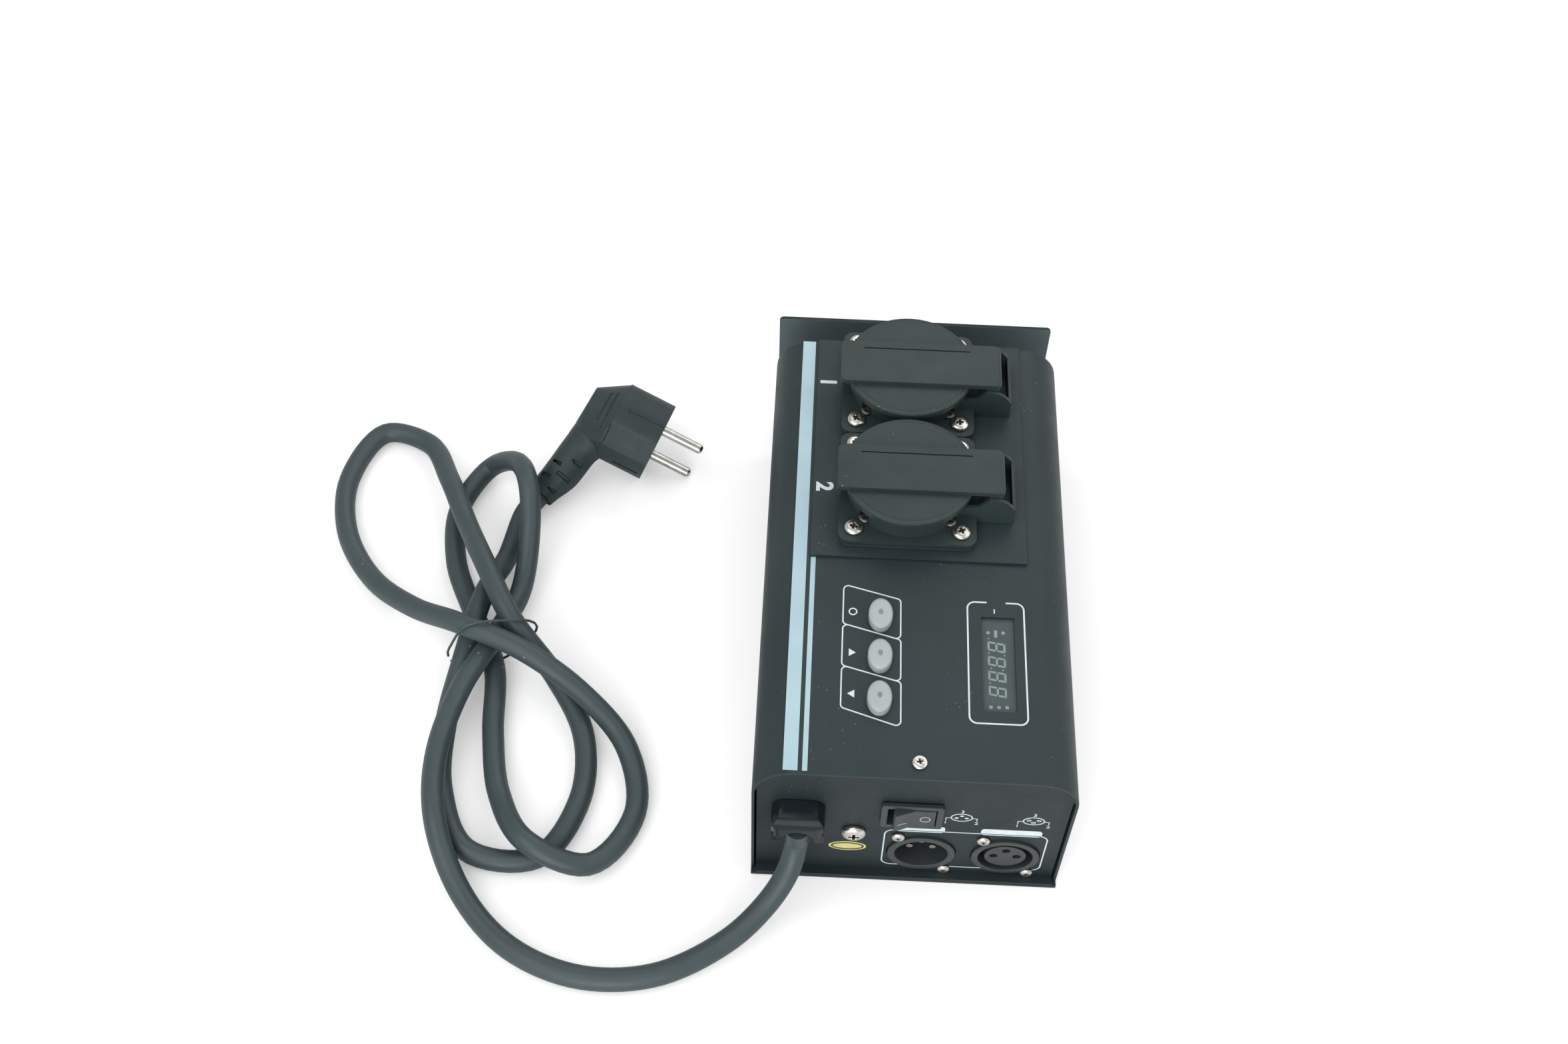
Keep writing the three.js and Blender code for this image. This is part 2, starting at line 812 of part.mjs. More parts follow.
function socketLid() {
  const radius = lidDiameter / 2;
  const disc = turned([
    [0, lidUnder],
    [radius - lidEdge, lidUnder],
    [radius, lidUnder + lidEdge],
    [radius, lidTop - lidEdge],
    [radius - lidEdge, lidTop],
    [0, lidTop],
  ], 36);
  const profile = [
    [strapLeft, strapUnder - strapLip],
    [strapLeft + strapLipSheet, strapUnder - strapLip],
    [strapLeft + strapLipSheet, strapUnder],
    [strapRight - 2 * strapEndSheet, strapUnder],
    [strapRight - strapEndSheet, strapUnder - strapEndSheet],
    [strapRight - strapEndSheet, hingeZ],
    [strapRight, hingeZ],
    ...arc(strapRight - strapBend, strapTop - strapBend, strapBend, 0, 90, 5),
    [strapLeft + lidEdge, strapTop],
    [strapLeft, strapTop - lidEdge],
  ];
  const middle = (strapLeft + strapRight) / 2;
  const outline = rounded(middle, 0, strapRight - strapLeft, strapWidth, strapCorner);
  const plan = drawn('z', outline, 0, strapTop + overrun);
  const strap = common(drawn('y', profile, -strapWidth / 2, strapWidth / 2), plan);
  const knuckles = [-1, 1].flatMap((side) => {
    const outer = side * (strapWidth / 2);
    const [from, to] = [outer - side * knuckleLength, outer].sort((a, b) => a - b);
    const web = block(
      hingeX - knuckleRadius / 2,
      strapRight - strapEndSheet / 2,
      from,
      to,
      hingeZ,
      strapTop - strapThickness / 2,
    );
    return [rod('y', knuckleRadius, from, to, hingeX, hingeZ, 20), web].map((part) => common(part, plan));
  });
  const groove = block(
    -strapGrooveLeft,
    strapGrooveRight,
    strapGrooveY - strapGrooveSize / 2,
    strapGrooveY + strapGrooveSize / 2,
    strapTop - strapGrooveSize,
    strapTop + overrun,
  );
  const pinHole = rod('y', hingePinDiameter / 2 + slideFit, -strapWidth, strapWidth, hingeX, hingeZ, 16);
  return cut(join(disc, strap, ...knuckles), groove, pinHole);
}

function lidPin() {
  return rod('y', hingePinDiameter / 2, -cheekOuter + 2 * seat, cheekOuter - seat / 2, hingeX, hingeZ, 12);
}

// One unbroken wire: the turns, then a leg down to the flange. Its least gap is measured below.
function springPath() {
  const steps = 8;
  const total = steps * springTurns;
  const start = (-springPitch * springTurns) / 2;
  const turns = Array.from({ length: total + 1 }, (_, i) => {
    const angle = Math.PI + (2 * Math.PI * i) / steps;
    return new THREE.Vector3(
      hingeX + springRadius * Math.cos(angle),
      start + (springPitch * i) / steps,
      hingeZ + springRadius * Math.sin(angle),
    );
  });
  const last = turns[total];
  const lean = springLeg / 8;
  turns.push(new THREE.Vector3(last.x - lean / 2, last.y + springWire / 2, hingeZ - springLeg / 2));
  turns.push(new THREE.Vector3(last.x - lean, last.y + springWire / 2, hingeZ - springLeg));
  return turns;
}

function sweep(points, radius, sides, steps) {
  const circle = new THREE.Shape(
    arc(0, 0, radius, 0, 360 - 360 / sides, sides - 1).map(([x, y]) => new THREE.Vector2(x, y)),
  );
  const path = new THREE.CatmullRomCurve3(points, false, 'centripetal');
  return new THREE.ExtrudeGeometry(circle, { steps, bevelEnabled: false, extrudePath: path });
}

function lidSpring() {
  const points = springPath();
  return sweep(points, springWire / 2, 5, points.length - 1);
}

socketRows.forEach((y, row) => {
  const name = `socket_${row + 1}`;
  const socket = groupAt(pack, socketX, y, plateTop + seat);
  piece(socket, `${name}_body`, socketBody(), blackPlastic);
  piece(socket, `${name}_insert`, socketInsert(), blackPlastic);
  piece(socket, `${name}_earth_clip`, earthStrip(), silverContact);
  piece(socket, `${name}_lid`, socketLid(), blackPlastic);
  piece(socket, `${name}_lid_pin`, lidPin(), pinMetal);
  piece(socket, `${name}_lid_spring`, lidSpring(), spring);
  screwCorners.forEach(([sx, sy], corner) => {
    const shape = screw(flangeScrewHead, flangeScrewRise, flangeScrewThread, flangeScrewLength);
    const mesh = piece(socket, `${name}_flange_screw_${corner + 1}`, shape, brightScrew);
    mesh.position.set((sx * screwSquare) / 2, (sy * screwSquare) / 2, socketFlangeThickness + seat);
    mesh.rotation.z = corner + row;
  });
  clampAngles.forEach((angle, side) => {
    const [x, z] = polar(clampScrewRadius, angle);
    const shape = screw(smallScrewHead, smallScrewRise, smallScrewThread, smallScrewLength);
    const mesh = piece(socket, `${name}_clamp_screw_${side + 1}`, shape, brightScrew);
    mesh.position.set(x, z, socketFlangeThickness + seat);
    mesh.rotation.z = side + row / 2;
  });
});

// Top controls
const buttonTop = caseHeight + buttonRise;
const collarUnder = coverUnder - seat - buttonCollarSheet;
const plungerTop = boardTop + switchHeight + switchPlunger / 2;
const stemUnder = plungerTop + buttonTravel + buttonPlay;
const buttonDomeShares = [[0.93, 0.78], [0.72, 1]];

function pushButton() {
  const radius = buttonWidth / 2;
  const rise = buttonTop - caseHeight;
  const cap = turned([
    [0, collarUnder],
    [radius, collarUnder],
    [radius, caseHeight + rise / 2],
    ...buttonDomeShares.map(([across, up]) => [radius * across, caseHeight + rise / 2 + (up * rise) / 2]),
    [radius / 3, buttonTop - buttonDimple],
    [0, buttonTop - buttonDimple],
  ], 18);
  const skirt = rod('z', radius + buttonCollar, collarUnder, collarUnder + buttonCollarSheet, 0, 0, 18);
  const oval = join(cap, skirt).scale(1, buttonLength / buttonWidth, 1);
  return join(oval, rod('z', buttonStem / 2, stemUnder, collarUnder + buttonCollarSheet / 2, 0, 0, 12));
}

function controlBoard() {
  const board = block(boardX0, boardX1, boardY0, boardY1, boardTop - boardSheet, boardTop);
  const switches = [0, 1, 2].flatMap((i) => {
    const y = coverFront + buttonFront + i * buttonPitch;
    const half = switchSize / 2;
    const base = boardTop - boardSheet / 2;
    return [
      block(buttonX - half, buttonX + half, y - half, y + half, base, boardTop + switchHeight),
      rod('z', switchPlunger / 2, boardTop, plungerTop, buttonX, y, 12),
    ];
  });
  return join(board, ...switches);
}

[2, 1, 0].forEach((place, i) => {
  const mesh = piece(pack, `button_${i + 1}`, pushButton(), buttonPlastic);
  mesh.position.set(buttonX, coverFront + buttonFront + place * buttonPitch, 0);
});
piece(pack, 'control_board', controlBoard(), boardGreen);
piece(pack, 'display_module', block(
  windowLeft - moduleMargin,
  windowRight + moduleMargin,
  coverFront + windowFront - moduleMargin,
  coverFront + windowBack + moduleMargin,
  boardTop + seat,
  coverUnder - seat,
), displayPlastic);

const coverScrew = piece(
  pack,
  'cover_screw',
  screw(coverScrewHead, coverScrewRise, coverScrewThread, coverScrewLength),
  brightScrew,
);
coverScrew.position.set(coverScrewX, coverFront + coverScrewFront, caseHeight + seat);

// Front panel pieces: each group sits on the panel's face, Y going in
function onPanel(x, z) {
  return groupAt(pack, x, frontFace, z);
}

function facing(mesh, x, z) {
  mesh.position.set(x, -seat, z);
  mesh.rotation.x = Math.PI / 2;
}

const cavityFloorShare = 0.7;
const rockerRootShare = 0.7;
const rockerEdgeShare = 0.95;
const rockerShoulderShare = 0.75;
const rockerSpan = Math.hypot(rockerHalf, rockerTip);
const cavityHalf = rockerHalf + rockerTip * Math.sin(THREE.MathUtils.degToRad(rockerTilt)) - seat / 4;
const cavityHeight = rockerLength + 2 * slideFit;
const cavityFloor = rockerPivot + rockerSpan * cavityFloorShare;

function rockerBody() {
  const bezel = drawn('y', rounded(0, 0, bezelWidth, bezelHeight, bezelCorner, 2), -seat - bezelSheet, -seat);
  const box = block(
    -switchBodyWidth / 2,
    switchBodyWidth / 2,
    -seat - bezelSheet / 2,
    switchBodyDepth,
    -switchBodyHeight / 2,
    switchBodyHeight / 2,
  );
  const cavity = block(
    -cavityHalf,
    cavityHalf,
    -seat - bezelSheet - overrun,
    cavityFloor,
    -cavityHeight / 2,
    cavityHeight / 2,
  );
  const pivotHole = rod('z', rockerPin / 2 + slideFit, -bezelHeight, bezelHeight, 0, rockerPivot, 12);
  return cut(join(bezel, box), cavity, pivotHole);
}

function rocker() {
  const outline = [
    [-rockerHalf * rockerRootShare, rockerRoot],
    [rockerHalf * rockerRootShare, rockerRoot],
    [rockerHalf, -rockerTip * rockerShoulderShare],
    [rockerHalf * rockerEdgeShare, -rockerTip],
    [0, -rockerValley],
    [-rockerHalf * rockerEdgeShare, -rockerTip],
    [-rockerHalf, -rockerTip * rockerShoulderShare],
  ];
  const reach = rockerLength / 2 + rockerPinReach;
  return join(
    drawn('z', outline, -rockerLength / 2, rockerLength / 2),
    rod('z', rockerPin / 2, -reach, reach, 0, 0, 12),
  );
}

const rockerGroup = onPanel(rockerX, rockerHeight);
piece(rockerGroup, 'rocker_body', rockerBody(), blackPlastic);
const rockerMesh = piece(rockerGroup, 'rocker', rocker(), softPlastic);
rockerMesh.position.y = rockerPivot;
rockerMesh.rotation.z = THREE.MathUtils.degToRad(rockerTilt);

const panelBack = panelSheet + seat;
const contactAngles = [0, 90, 180];

// A connector's shell: flange behind the panel, ring through it and a round body
function connectorShell(cavity) {
  const flange = block(
    -shellFlangeWidth / 2,
    shellFlangeWidth / 2,
    panelBack,
    panelBack + shellFlangeSheet,
    -shellFlangeHeight / 2,
    shellFlangeHeight / 2,
  );
  const ring = rod('y', ringDiameter / 2, -ringProud, panelBack + shellFlangeSheet / 2, 0, 0, 28);
  const body = rod('y', shellDiameter / 2, panelBack, shellDepth, 0, 0, 24);
  const screwHoles = [-1, 1].map((side) => rod(
    'y',
    connectorScrewThread / 2 + holeFit,
    -overrun,
    panelBack + shellFlangeSheet + overrun,
    side * connectorScrewX,
    -side * connectorScrewZ,
    12,
  ));
  return cut(join(flange, ring, body), cavity, ...screwHoles);
}

function inputShell() {
  const throat = maleDepth - ringProud;
  const mouth = rod('y', maleMouth / 2, -ringProud - overrun, throat, 0, 0, 28, maleThroat / 2);
  const rest = rod('y', maleThroat / 2, throat - seat, shellDepth + overrun, 0, 0, 28);
  return connectorShell(join(mouth, rest));
}

function inputInsert() {
  const front = maleDepth - ringProud;
  const carrier = rod('y', maleThroat / 2 - slideFit, front, shellDepth + shellFloor, 0, 0, 24);
  const pins = contactAngles.map((angle) => {
    const [x, z] = polar(contactCircle, angle);
    return rod('y', contactPin / 2, front - contactPinLength, front + shellFloor, x, z, 10);
  });
  return join(carrier, ...pins);
}

function outputShell() {
  return connectorShell(rod('y', femaleBore / 2, -ringProud - overrun, shellDepth + overrun, 0, 0, 28));
}

function outputInsert() {
  const front = -ringProud + femaleRecess;
  const core = rod('y', femaleInsert / 2, front, shellDepth + shellFloor, 0, 0, 28);
  const bore = femaleBore / 2 - slideFit;
  const disc = rod('y', bore, shellDepth - shellFloor, shellDepth + shellFloor, 0, 0, 28);
  const holes = contactAngles.map((angle) => {
    const [x, z] = polar(contactCircle, angle);
    return rod('y', contactHole / 2, front - overrun, front + contactHoleDepth, x, z, 12);
  });
  return cut(join(core, disc), ...holes);
}

[['input', inputX, inputShell, inputInsert], ['output', outputX, outputShell, outputInsert]].forEach(
  ([name, x, shell, insert]) => {
    const connector = onPanel(x, connectorHeight);
    piece(connector, `${name}_shell`, shell(), blackPlastic);
    piece(connector, `${name}_insert`, insert(), name === 'input' ? silverContact : blackPlastic);
    [-1, 1].forEach((side, i) => {
      const shape = screw(connectorScrewHead, connectorScrewRise, connectorScrewThread, connectorScrewLength);
      const mesh = piece(connector, `${name}_screw_${i + 1}`, shape, brightScrew);
      facing(mesh, side * connectorScrewX, -side * connectorScrewZ);
      mesh.rotation.z = side / 2;
    });
  },
);

const earthScrew = piece(
  onPanel(0, 0),
  'earth_screw',
  screw(earthScrewHead, earthScrewRise, earthScrewThread, earthScrewLength),
  brightScrew,
);
facing(earthScrew, earthScrewX, earthScrewHeight);

// Cord gland: a saddle whose channel opens downwards
function gland() {
  const half = glandWidth / 2;
  const front = -glandProud;
  const face = [
    [-half, glandBottom],
    [half, glandBottom],
    ...arc(half - glandCorner, glandTop - glandCorner, glandCorner, 0, 90, 4),
    ...arc(-half + glandCorner, glandTop - glandCorner, glandCorner, 90, 180, 4),
  ];
  const noseBottom = glandMouth + glandNose / 3;
  const side = [
    [-seat, glandBottom],
    [-seat, glandTop],
    [-glandProud / 2, glandTop],
    ...arc(front + glandCorner, glandTop - 2 * glandCorner, glandCorner, 110, 180, 4),
    [front, noseBottom],
    [front + glandNose, noseBottom - glandNose],
    [front + glandNose, glandBottom + glandNose / 2],
    [front + 2 * glandNose, glandBottom],
  ];
  const head = common(
    drawn('y', face, front - overrun, -seat + overrun),
    drawn('x', side.reverse(), -half - overrun, half + overrun),
  );
  const channel = block(
    -glandChannel / 2,
    glandChannel / 2,
    front - overrun,
    overrun,
    glandBottom - overrun,
    glandMouth,
  );
  const neck = rod('y', glandNeck / 2, -seat - seat / 2, panelSheet + glandNeckReach, 0, glandNeckHeight, 24);
  return join(cut(head, channel), neck);
}

piece(onPanel(glandX, 0), 'cord_gland', gland(), blackPlastic);

// Plug, cord and tie are placed from the gland's middle and the cover's front edge.
const laid = groupAt(pack, glandX, coverFront, 0);

// Plug: an angled body whose frame has X along the pins, Z across them and its tail to -Y
const plugPlace = [-63.7, 178.7, 15.95];
const plugTurn = [0.3, 18.3, -17.1];
const plug = groupAt(laid, ...plugPlace);
plug.rotation.set(...plugTurn.map((angle) => THREE.MathUtils.degToRad(angle)), 'ZYX');

const plugRadius = plugDiameter / 2;
const plugBackShares = { reach: 0.72, across: 0.5, shift: 0.05, height: 0.62 };
const sunkShare = 0.99;
const drumSides = 24;

function hull(rings) {
  return new ConvexGeometry(rings.flat().map(([x, y, z]) => new THREE.Vector3(x, y, z)));
}

// A ring of points round a centre, square to a direction in the plug's frame
function ringAround(centre, along, across, up, sides = 12) {
  const axis = new THREE.Vector3(...along).normalize();
  const side = new THREE.Vector3(0, 0, 1).cross(axis).normalize();
  const rise = axis.clone().cross(side);
  return Array.from({ length: sides }, (_, i) => {
    const angle = (2 * Math.PI * (i + 0.5)) / sides;
    return new THREE.Vector3(...centre)
      .addScaledVector(side, across * Math.cos(angle))
      .addScaledVector(rise, up * Math.sin(angle))
      .toArray();
  });
}

// Tail stations: centre, direction and half sizes, in shares of the plug's radius
const tailShares = [
  { centre: [-1.5, -0.5, -0.22], along: [-0.27, -0.84, -0.48], across: 0.56, up: 0.56 },
  { centre: [-1.62, -0.88, -0.53], along: [-0.23, -0.8, -0.55], across: 0.47, up: 0.47 },
  { centre: [-1.75, -1.49, -0.9], along: [-0.22, -0.84, -0.51], across: 0.455, up: 0.455 },
  { centre: [-1.91, -1.89, -1.15], along: [-0.3, -0.85, -0.44], across: 0.385, up: 0.385 },
  { centre: [-1.98, -2.14, -1.24], along: [-0.24, -0.93, -0.28], across: 0.345, up: 0.345 },
];

function scaled(share) {
  return share.map((value) => value * plugRadius);
}

function plugBody() {
  const drum = Array.from({ length: drumSides }, (_, i) => polar(plugRadius, (i * 360) / drumSides));
  const drumFront = drum.map(([y, z]) => [0, y, z]);
  const drumBack = drum.map(([y, z]) => [-plugDrum, y, z]);
  const { reach, across: narrow, shift, height } = plugBackShares;
  const backRing = drum.map(([y, z]) => (
    [-plugDrum - plugRadius * reach, y * narrow + plugRadius * shift, z * height]
  ));
  const rings = tailShares.map(({ centre, along, across, up }) => (
    ringAround(scaled(centre), along, across * plugRadius, up * plugRadius)
  ));
  const sunkRings = tailShares.map(({ centre, along, across, up }) => {
    const back = new THREE.Vector3(...along).normalize().multiplyScalar(-seat);
    const from = new THREE.Vector3(...scaled(centre)).add(back).toArray();
    return ringAround(from, along, across * plugRadius - seat / 2, up * plugRadius - seat / 2);
  });
  const sunkDrum = drumBack.map(([x, y, z]) => [x + seat, y * sunkShare, z * sunkShare]);
  const shoulder = hull([sunkDrum, backRing, rings[0]]);
  const tail = rings.slice(1).map((ring, i) => hull([sunkRings[i], ring]));
  const pinHoles = [-1, 1].map((side) => rod(
    'x',
    plugPinDiameter / 2 + slideFit,
    -plugPinSocket,
    overrun,
    0,
    (side * plugPinSpacing) / 2,
    16,
  ));
  const contacts = [-1, 1].map((side) => block(
    -plugDrum + plugDrum / 5,
    overrun,
    side * plugRadius - plugRadius / 12,
    side * plugRadius + plugRadius / 12,
    -plugRadius / 8,
    plugRadius / 8,
  ));
  return cut(join(hull([drumFront, drumBack]), shoulder, ...tail), ...pinHoles, ...contacts);
}

function plugPin() {
  const radius = plugPinDiameter / 2;
  return turned([
    [0, -plugPinSocket + seat],
    [radius, -plugPinSocket + seat],
    [radius, plugPinLength - radius / 2],
    [radius / 2, plugPinLength],
    [0, plugPinLength],
  ], 16).rotateY(Math.PI / 2);
}

piece(plug, 'plug_body', plugBody(), softPlastic);
[-1, 1].forEach((side, i) => {
  const mesh = piece(plug, `plug_pin_${i + 1}`, plugPin(), pinMetal);
  mesh.position.z = (side * plugPinSpacing) / 2;
});

// Cord: one unbroken tube from the gland's mouth, round its loops, to the plug's tail
const cordRoute = [
  [-2.7, -10.75, 21.5], [-9.7, -19.25, 12.5], [-22.7, -30.75, 6.5], [-46.2, -43.25, 4.5],
  [-72.7, -45.25, 4.5], [-97.7, -35.75, 4.5], [-116.7, -16.75, 5], [-128.2, 6.25, 13],
  [-131.7, 32.25, 14], [-126.7, 59.25, 15.5], [-117.2, 84.25, 14], [-111.2, 110.25, 8],
  [-110.2, 136.25, 18], [-112.7, 151.25, 24], [-119.7, 164.25, 18], [-132.2, 169.25, 6],
  [-141.7, 149.25, 4.5], [-139.2, 123.25, 4.5], [-128.2, 98.25, 4.4], [-117.2, 74.25, 6],
  [-114.2, 47.25, 4.5], [-108.2, 21.25, 7], [-94.7, -0.75, 14], [-72.7, -4.75, 7], [-58.7, 17.25, 4.5],
  [-64.2, 43.25, 6], [-82.2, 61.25, 13], [-105.2, 73.25, 22], [-129.7, 83.25, 22.5],
  [-150.7, 96.25, 12], [-170.7, 113.25, 5], [-184.7, 135.25, 4.4], [-188.7, 162.25, 4.4],
  [-178.2, 186.25, 4.5], [-159.2, 181.25, 5.5], [-146.2, 158.25, 12], [-135.2, 134.25, 15.5],
  [-123.7, 110.25, 22.8], [-110.7, 87.25, 20.5], [-93.7, 71.25, 7], [-80.7, 48.25, 4.5],
  [-79.2, 21.25, 4.5], [-91.7, -1.75, 4.4], [-117.2, -0.25, 4.4], [-129.7, 23.25, 4.7],
  [-132.2, 50.25, 4.7], [-128.7, 75.25, 10.4], [-124.2, 101.25, 14.8], [-119.2, 126.25, 5.4],
];

plug.updateMatrix();

const straightShare = 1.1;

function cordPoints() {
  const straight = cordDiameter * straightShare;
  const start = [0, panelRecess - cordFromPanel, glandMouth - seat];
  const tail = tailShares[tailShares.length - 1];
  const end = new THREE.Vector3(...scaled(tail.centre)).applyMatrix4(plug.matrix);
  const away = new THREE.Vector3(...tail.along).transformDirection(plug.matrix);
  return [
    new THREE.Vector3(...start),
    new THREE.Vector3(start[0], start[1], start[2] - straight / 2),
    new THREE.Vector3(start[0], start[1], start[2] - straight),
    ...cordRoute.map((point) => new THREE.Vector3(...point)),
    end.clone().addScaledVector(away, seat + straight),
    end.clone().addScaledVector(away, seat + straight / 2),
    end.clone().addScaledVector(away, seat),
  ];
}

function leastGap(points, diameter, apart) {
  let least = Infinity;
  const along = [0];
  for (let i = 1; i < points.length; i += 1) along.push(along[i - 1] + points[i].distanceTo(points[i - 1]));
  for (let i = 0; i < points.length; i += 1) {
    for (let j = i + 1; j < points.length; j += 1) {
      if (along[j] - along[i] > apart) least = Math.min(least, points[i].distanceTo(points[j]));
    }
  }
  return least - diameter;
}

const cordSteps = 110;
const cordLine = new THREE.CatmullRomCurve3(cordPoints(), false, 'centripetal').getSpacedPoints(700);
const springLine = new THREE.CatmullRomCurve3(springPath(), false, 'centripetal').getSpacedPoints(500);
console.log('cord least gap', leastGap(cordLine, cordDiameter, 3 * cordDiameter).toFixed(2));
console.log('spring least gap', leastGap(springLine, springWire, springRadius * Math.PI).toFixed(2));
piece(laid, 'power_cord', sweep(cordPoints(), cordDiameter / 2, 8, cordSteps), cordRubber);

// Tie: a thin wire bent round the gathered cord, as distances across it and heights
const tieStart = [-129.7, 77.25];
const tieAcross = [0.952, 0.305];
const tieRoute = [
  [-4.9, 11], [-4.7, 14], [-2.4, 19], [0.2, 24], [3.5, 27.8], [8.3, 28.9], [14, 27.8], [20, 25.8], [25, 24.2],
  [28.7, 21.2], [29.7, 17.5], [27.5, 12.5], [22, 6.5], [17.5, 2.5], [13.5, 0.7], [9, 0.7], [4.5, 1.8],
  [-0.5, 4], [-4.4, 7.4],
];
piece(laid, 'cord_tie', sweep(
  tieRoute.map(([across, height]) => new THREE.Vector3(
    tieStart[0] + across * tieAcross[0],
    tieStart[1] + across * tieAcross[1],
    height,
  )),
  tieWire / 2,
  6,
  36,
), softPlastic);

// Inside: the main board on the base plate's studs and what stands on it
const boardUnder = baseSheet + mainBoardRise + seat;
const boardFace = boardUnder + mainBoardSheet + seat;
const boardMiddle = (mainBoardFront + mainBoardBack) / 2;
piece(pack, 'main_board', block(
  -mainBoardHalf,
  mainBoardHalf,
  mainBoardFront,
  mainBoardBack,
  boardUnder,
  boardUnder + mainBoardSheet,
), boardGreen);

function heatSink() {
  const half = sinkLength / 2;
  const back = block(-sinkSheet, 0, -half, half, 0, sinkHeight);
  const foot = block(-sinkSheet - sinkFin, 0, -half, half, 0, sinkSheet);
  const count = Math.max(2, Math.floor(sinkLength / sinkSpacing));
  const fins = Array.from({ length: count }, (_, i) => {
    const y = -half + ((sinkLength - sinkSheet / 2) * i) / (count - 1);
    return block(-sinkSheet - sinkFin, -sinkSheet / 2, y, y + sinkSheet / 2, sinkSheet / 2, sinkHeight);
  });
  return join(back, foot, ...fins);
}

const inside = groupAt(pack, 0, boardMiddle, boardFace);
const sink = groupAt(inside, -partsRowX, 0, 0);
piece(sink, 'heat_sink', heatSink(), aluminium);
[-1, 1].forEach((side, i) => {
  const y = (side * triacSpacing) / 2;
  piece(sink, `power_switch_${i + 1}`, block(
    seat,
    seat + triacSheet,
    y - triacWidth / 2,
    y + triacWidth / 2,
    0,
    triacHeight,
  ), softPlastic);
});
const clearRow = sinkLength / 2 + transformerLength / 2;
const chokeRow = (transformerLength - clearRow) / 2;
[1, 2].forEach((place) => {
  const ring = cut(
    rod('z', chokeDiameter / 2, 0, chokeHeight, 0, 0, 24),
    rod('z', chokeBore / 2, -overrun, chokeHeight + overrun, 0, 0, 24),
  );
  const mesh = piece(inside, `choke_${place}`, ring, ferrite);
  mesh.position.set(0, chokeRow + place * (chokeDiameter + chokeGap) - chokeDiameter / 2, 0);
});
piece(inside, 'transformer', block(
  mainBoardHalf - mainBoardMargin - transformerWidth,
  mainBoardHalf - mainBoardMargin,
  -transformerLength / 2,
  transformerLength / 2,
  0,
  transformerHeight,
), ferrite).position.y = -clearRow / 2;
piece(inside, 'terminal_block', block(
  -partsRowX,
  -partsRowX + terminalLength,
  -terminalWidth / 2,
  terminalWidth / 2,
  0,
  terminalHeight,
), terminalGreen).position.y = -clearRow - terminalWidth / 2;

export default pack;
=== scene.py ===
import json
import math

import bmesh
import bpy
from mathutils import Matrix, Vector


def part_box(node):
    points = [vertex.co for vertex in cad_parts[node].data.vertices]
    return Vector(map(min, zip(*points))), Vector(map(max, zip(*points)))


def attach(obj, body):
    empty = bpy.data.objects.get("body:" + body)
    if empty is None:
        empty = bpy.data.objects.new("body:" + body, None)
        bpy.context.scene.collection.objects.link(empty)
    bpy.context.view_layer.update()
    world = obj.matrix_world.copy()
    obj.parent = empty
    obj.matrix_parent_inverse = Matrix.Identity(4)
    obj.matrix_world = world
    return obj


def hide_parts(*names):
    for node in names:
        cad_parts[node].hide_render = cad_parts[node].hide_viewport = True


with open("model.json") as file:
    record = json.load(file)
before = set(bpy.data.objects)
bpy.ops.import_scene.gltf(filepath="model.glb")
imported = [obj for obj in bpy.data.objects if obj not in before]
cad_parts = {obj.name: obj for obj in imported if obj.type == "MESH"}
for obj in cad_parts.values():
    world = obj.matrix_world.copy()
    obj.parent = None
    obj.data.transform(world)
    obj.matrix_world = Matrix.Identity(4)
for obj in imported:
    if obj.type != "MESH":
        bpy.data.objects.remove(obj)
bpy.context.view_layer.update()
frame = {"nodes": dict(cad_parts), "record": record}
nodes = frame["nodes"]
slots = {entry["node"]: entry["material_slot"] for entry in frame["record"]["subparts"]}
scene = bpy.context.scene
mm = 0.001
scene.view_settings.view_transform = "Standard"
print("dimmer pack: frame loaded")


class Sizes(dict):  # its entries are read as attributes
    __getattr__ = dict.__getitem__


# small hands-on helpers: lengths are in millimetres, angles in degrees, places in the CAD's frame
meshSettings = Sizes(
    doubles=0.00001, looseCorners=0.000002, flatWithin=0.4, smoothUnder=44, flatWeight=80,
)


def clearSelection():
    if bpy.context.object and bpy.context.object.mode != "OBJECT":
        bpy.ops.object.mode_set(mode="OBJECT")
    bpy.ops.object.select_all(action="DESELECT")


def takeUp(piece):  # selected and active alone
    clearSelection()
    piece.select_set(True)
    bpy.context.view_layer.objects.active = piece
    return piece


def added(name):  # the primitive that was just added
    piece = bpy.context.object
    piece.name = name
    return piece


def settle(piece):  # its place goes into its mesh
    takeUp(piece)
    bpy.ops.object.transform_apply(location=True, rotation=True, scale=True)
    return piece


def openMesh(piece, mode="FACE"):
    takeUp(piece)
    bpy.ops.object.mode_set(mode="EDIT")
    bpy.ops.mesh.select_mode(type=mode)
    bpy.ops.mesh.select_all(action="DESELECT")
    return bmesh.from_edit_mesh(piece.data)


def pickFaces(piece, wanted):  # wanted(centre, normal) in millimetres
    for face in openMesh(piece).faces:
        if wanted(face.calc_center_median() / mm, face.normal):
            face.select = True
    bmesh.update_edit_mesh(piece.data)


def pickEdges(piece, wanted):  # wanted(one end, other end) in millimetres
    for edge in openMesh(piece, "EDGE").edges:
        if wanted(edge.verts[0].co / mm, edge.verts[1].co / mm):
            edge.select = True
    bmesh.update_edit_mesh(piece.data)


def pickPoints(piece, wanted):
    for point in openMesh(piece, "VERT").verts:
        if wanted(point.co / mm):
            point.select = True
    bmesh.update_edit_mesh(piece.data)


def closeMesh(piece, mend=False):
    if mend:
        bpy.ops.mesh.select_all(action="SELECT")
        bpy.ops.mesh.remove_doubles(threshold=meshSettings.doubles)
        bpy.ops.mesh.normals_make_consistent(inside=False)
    bpy.ops.object.mode_set(mode="OBJECT")
    return piece


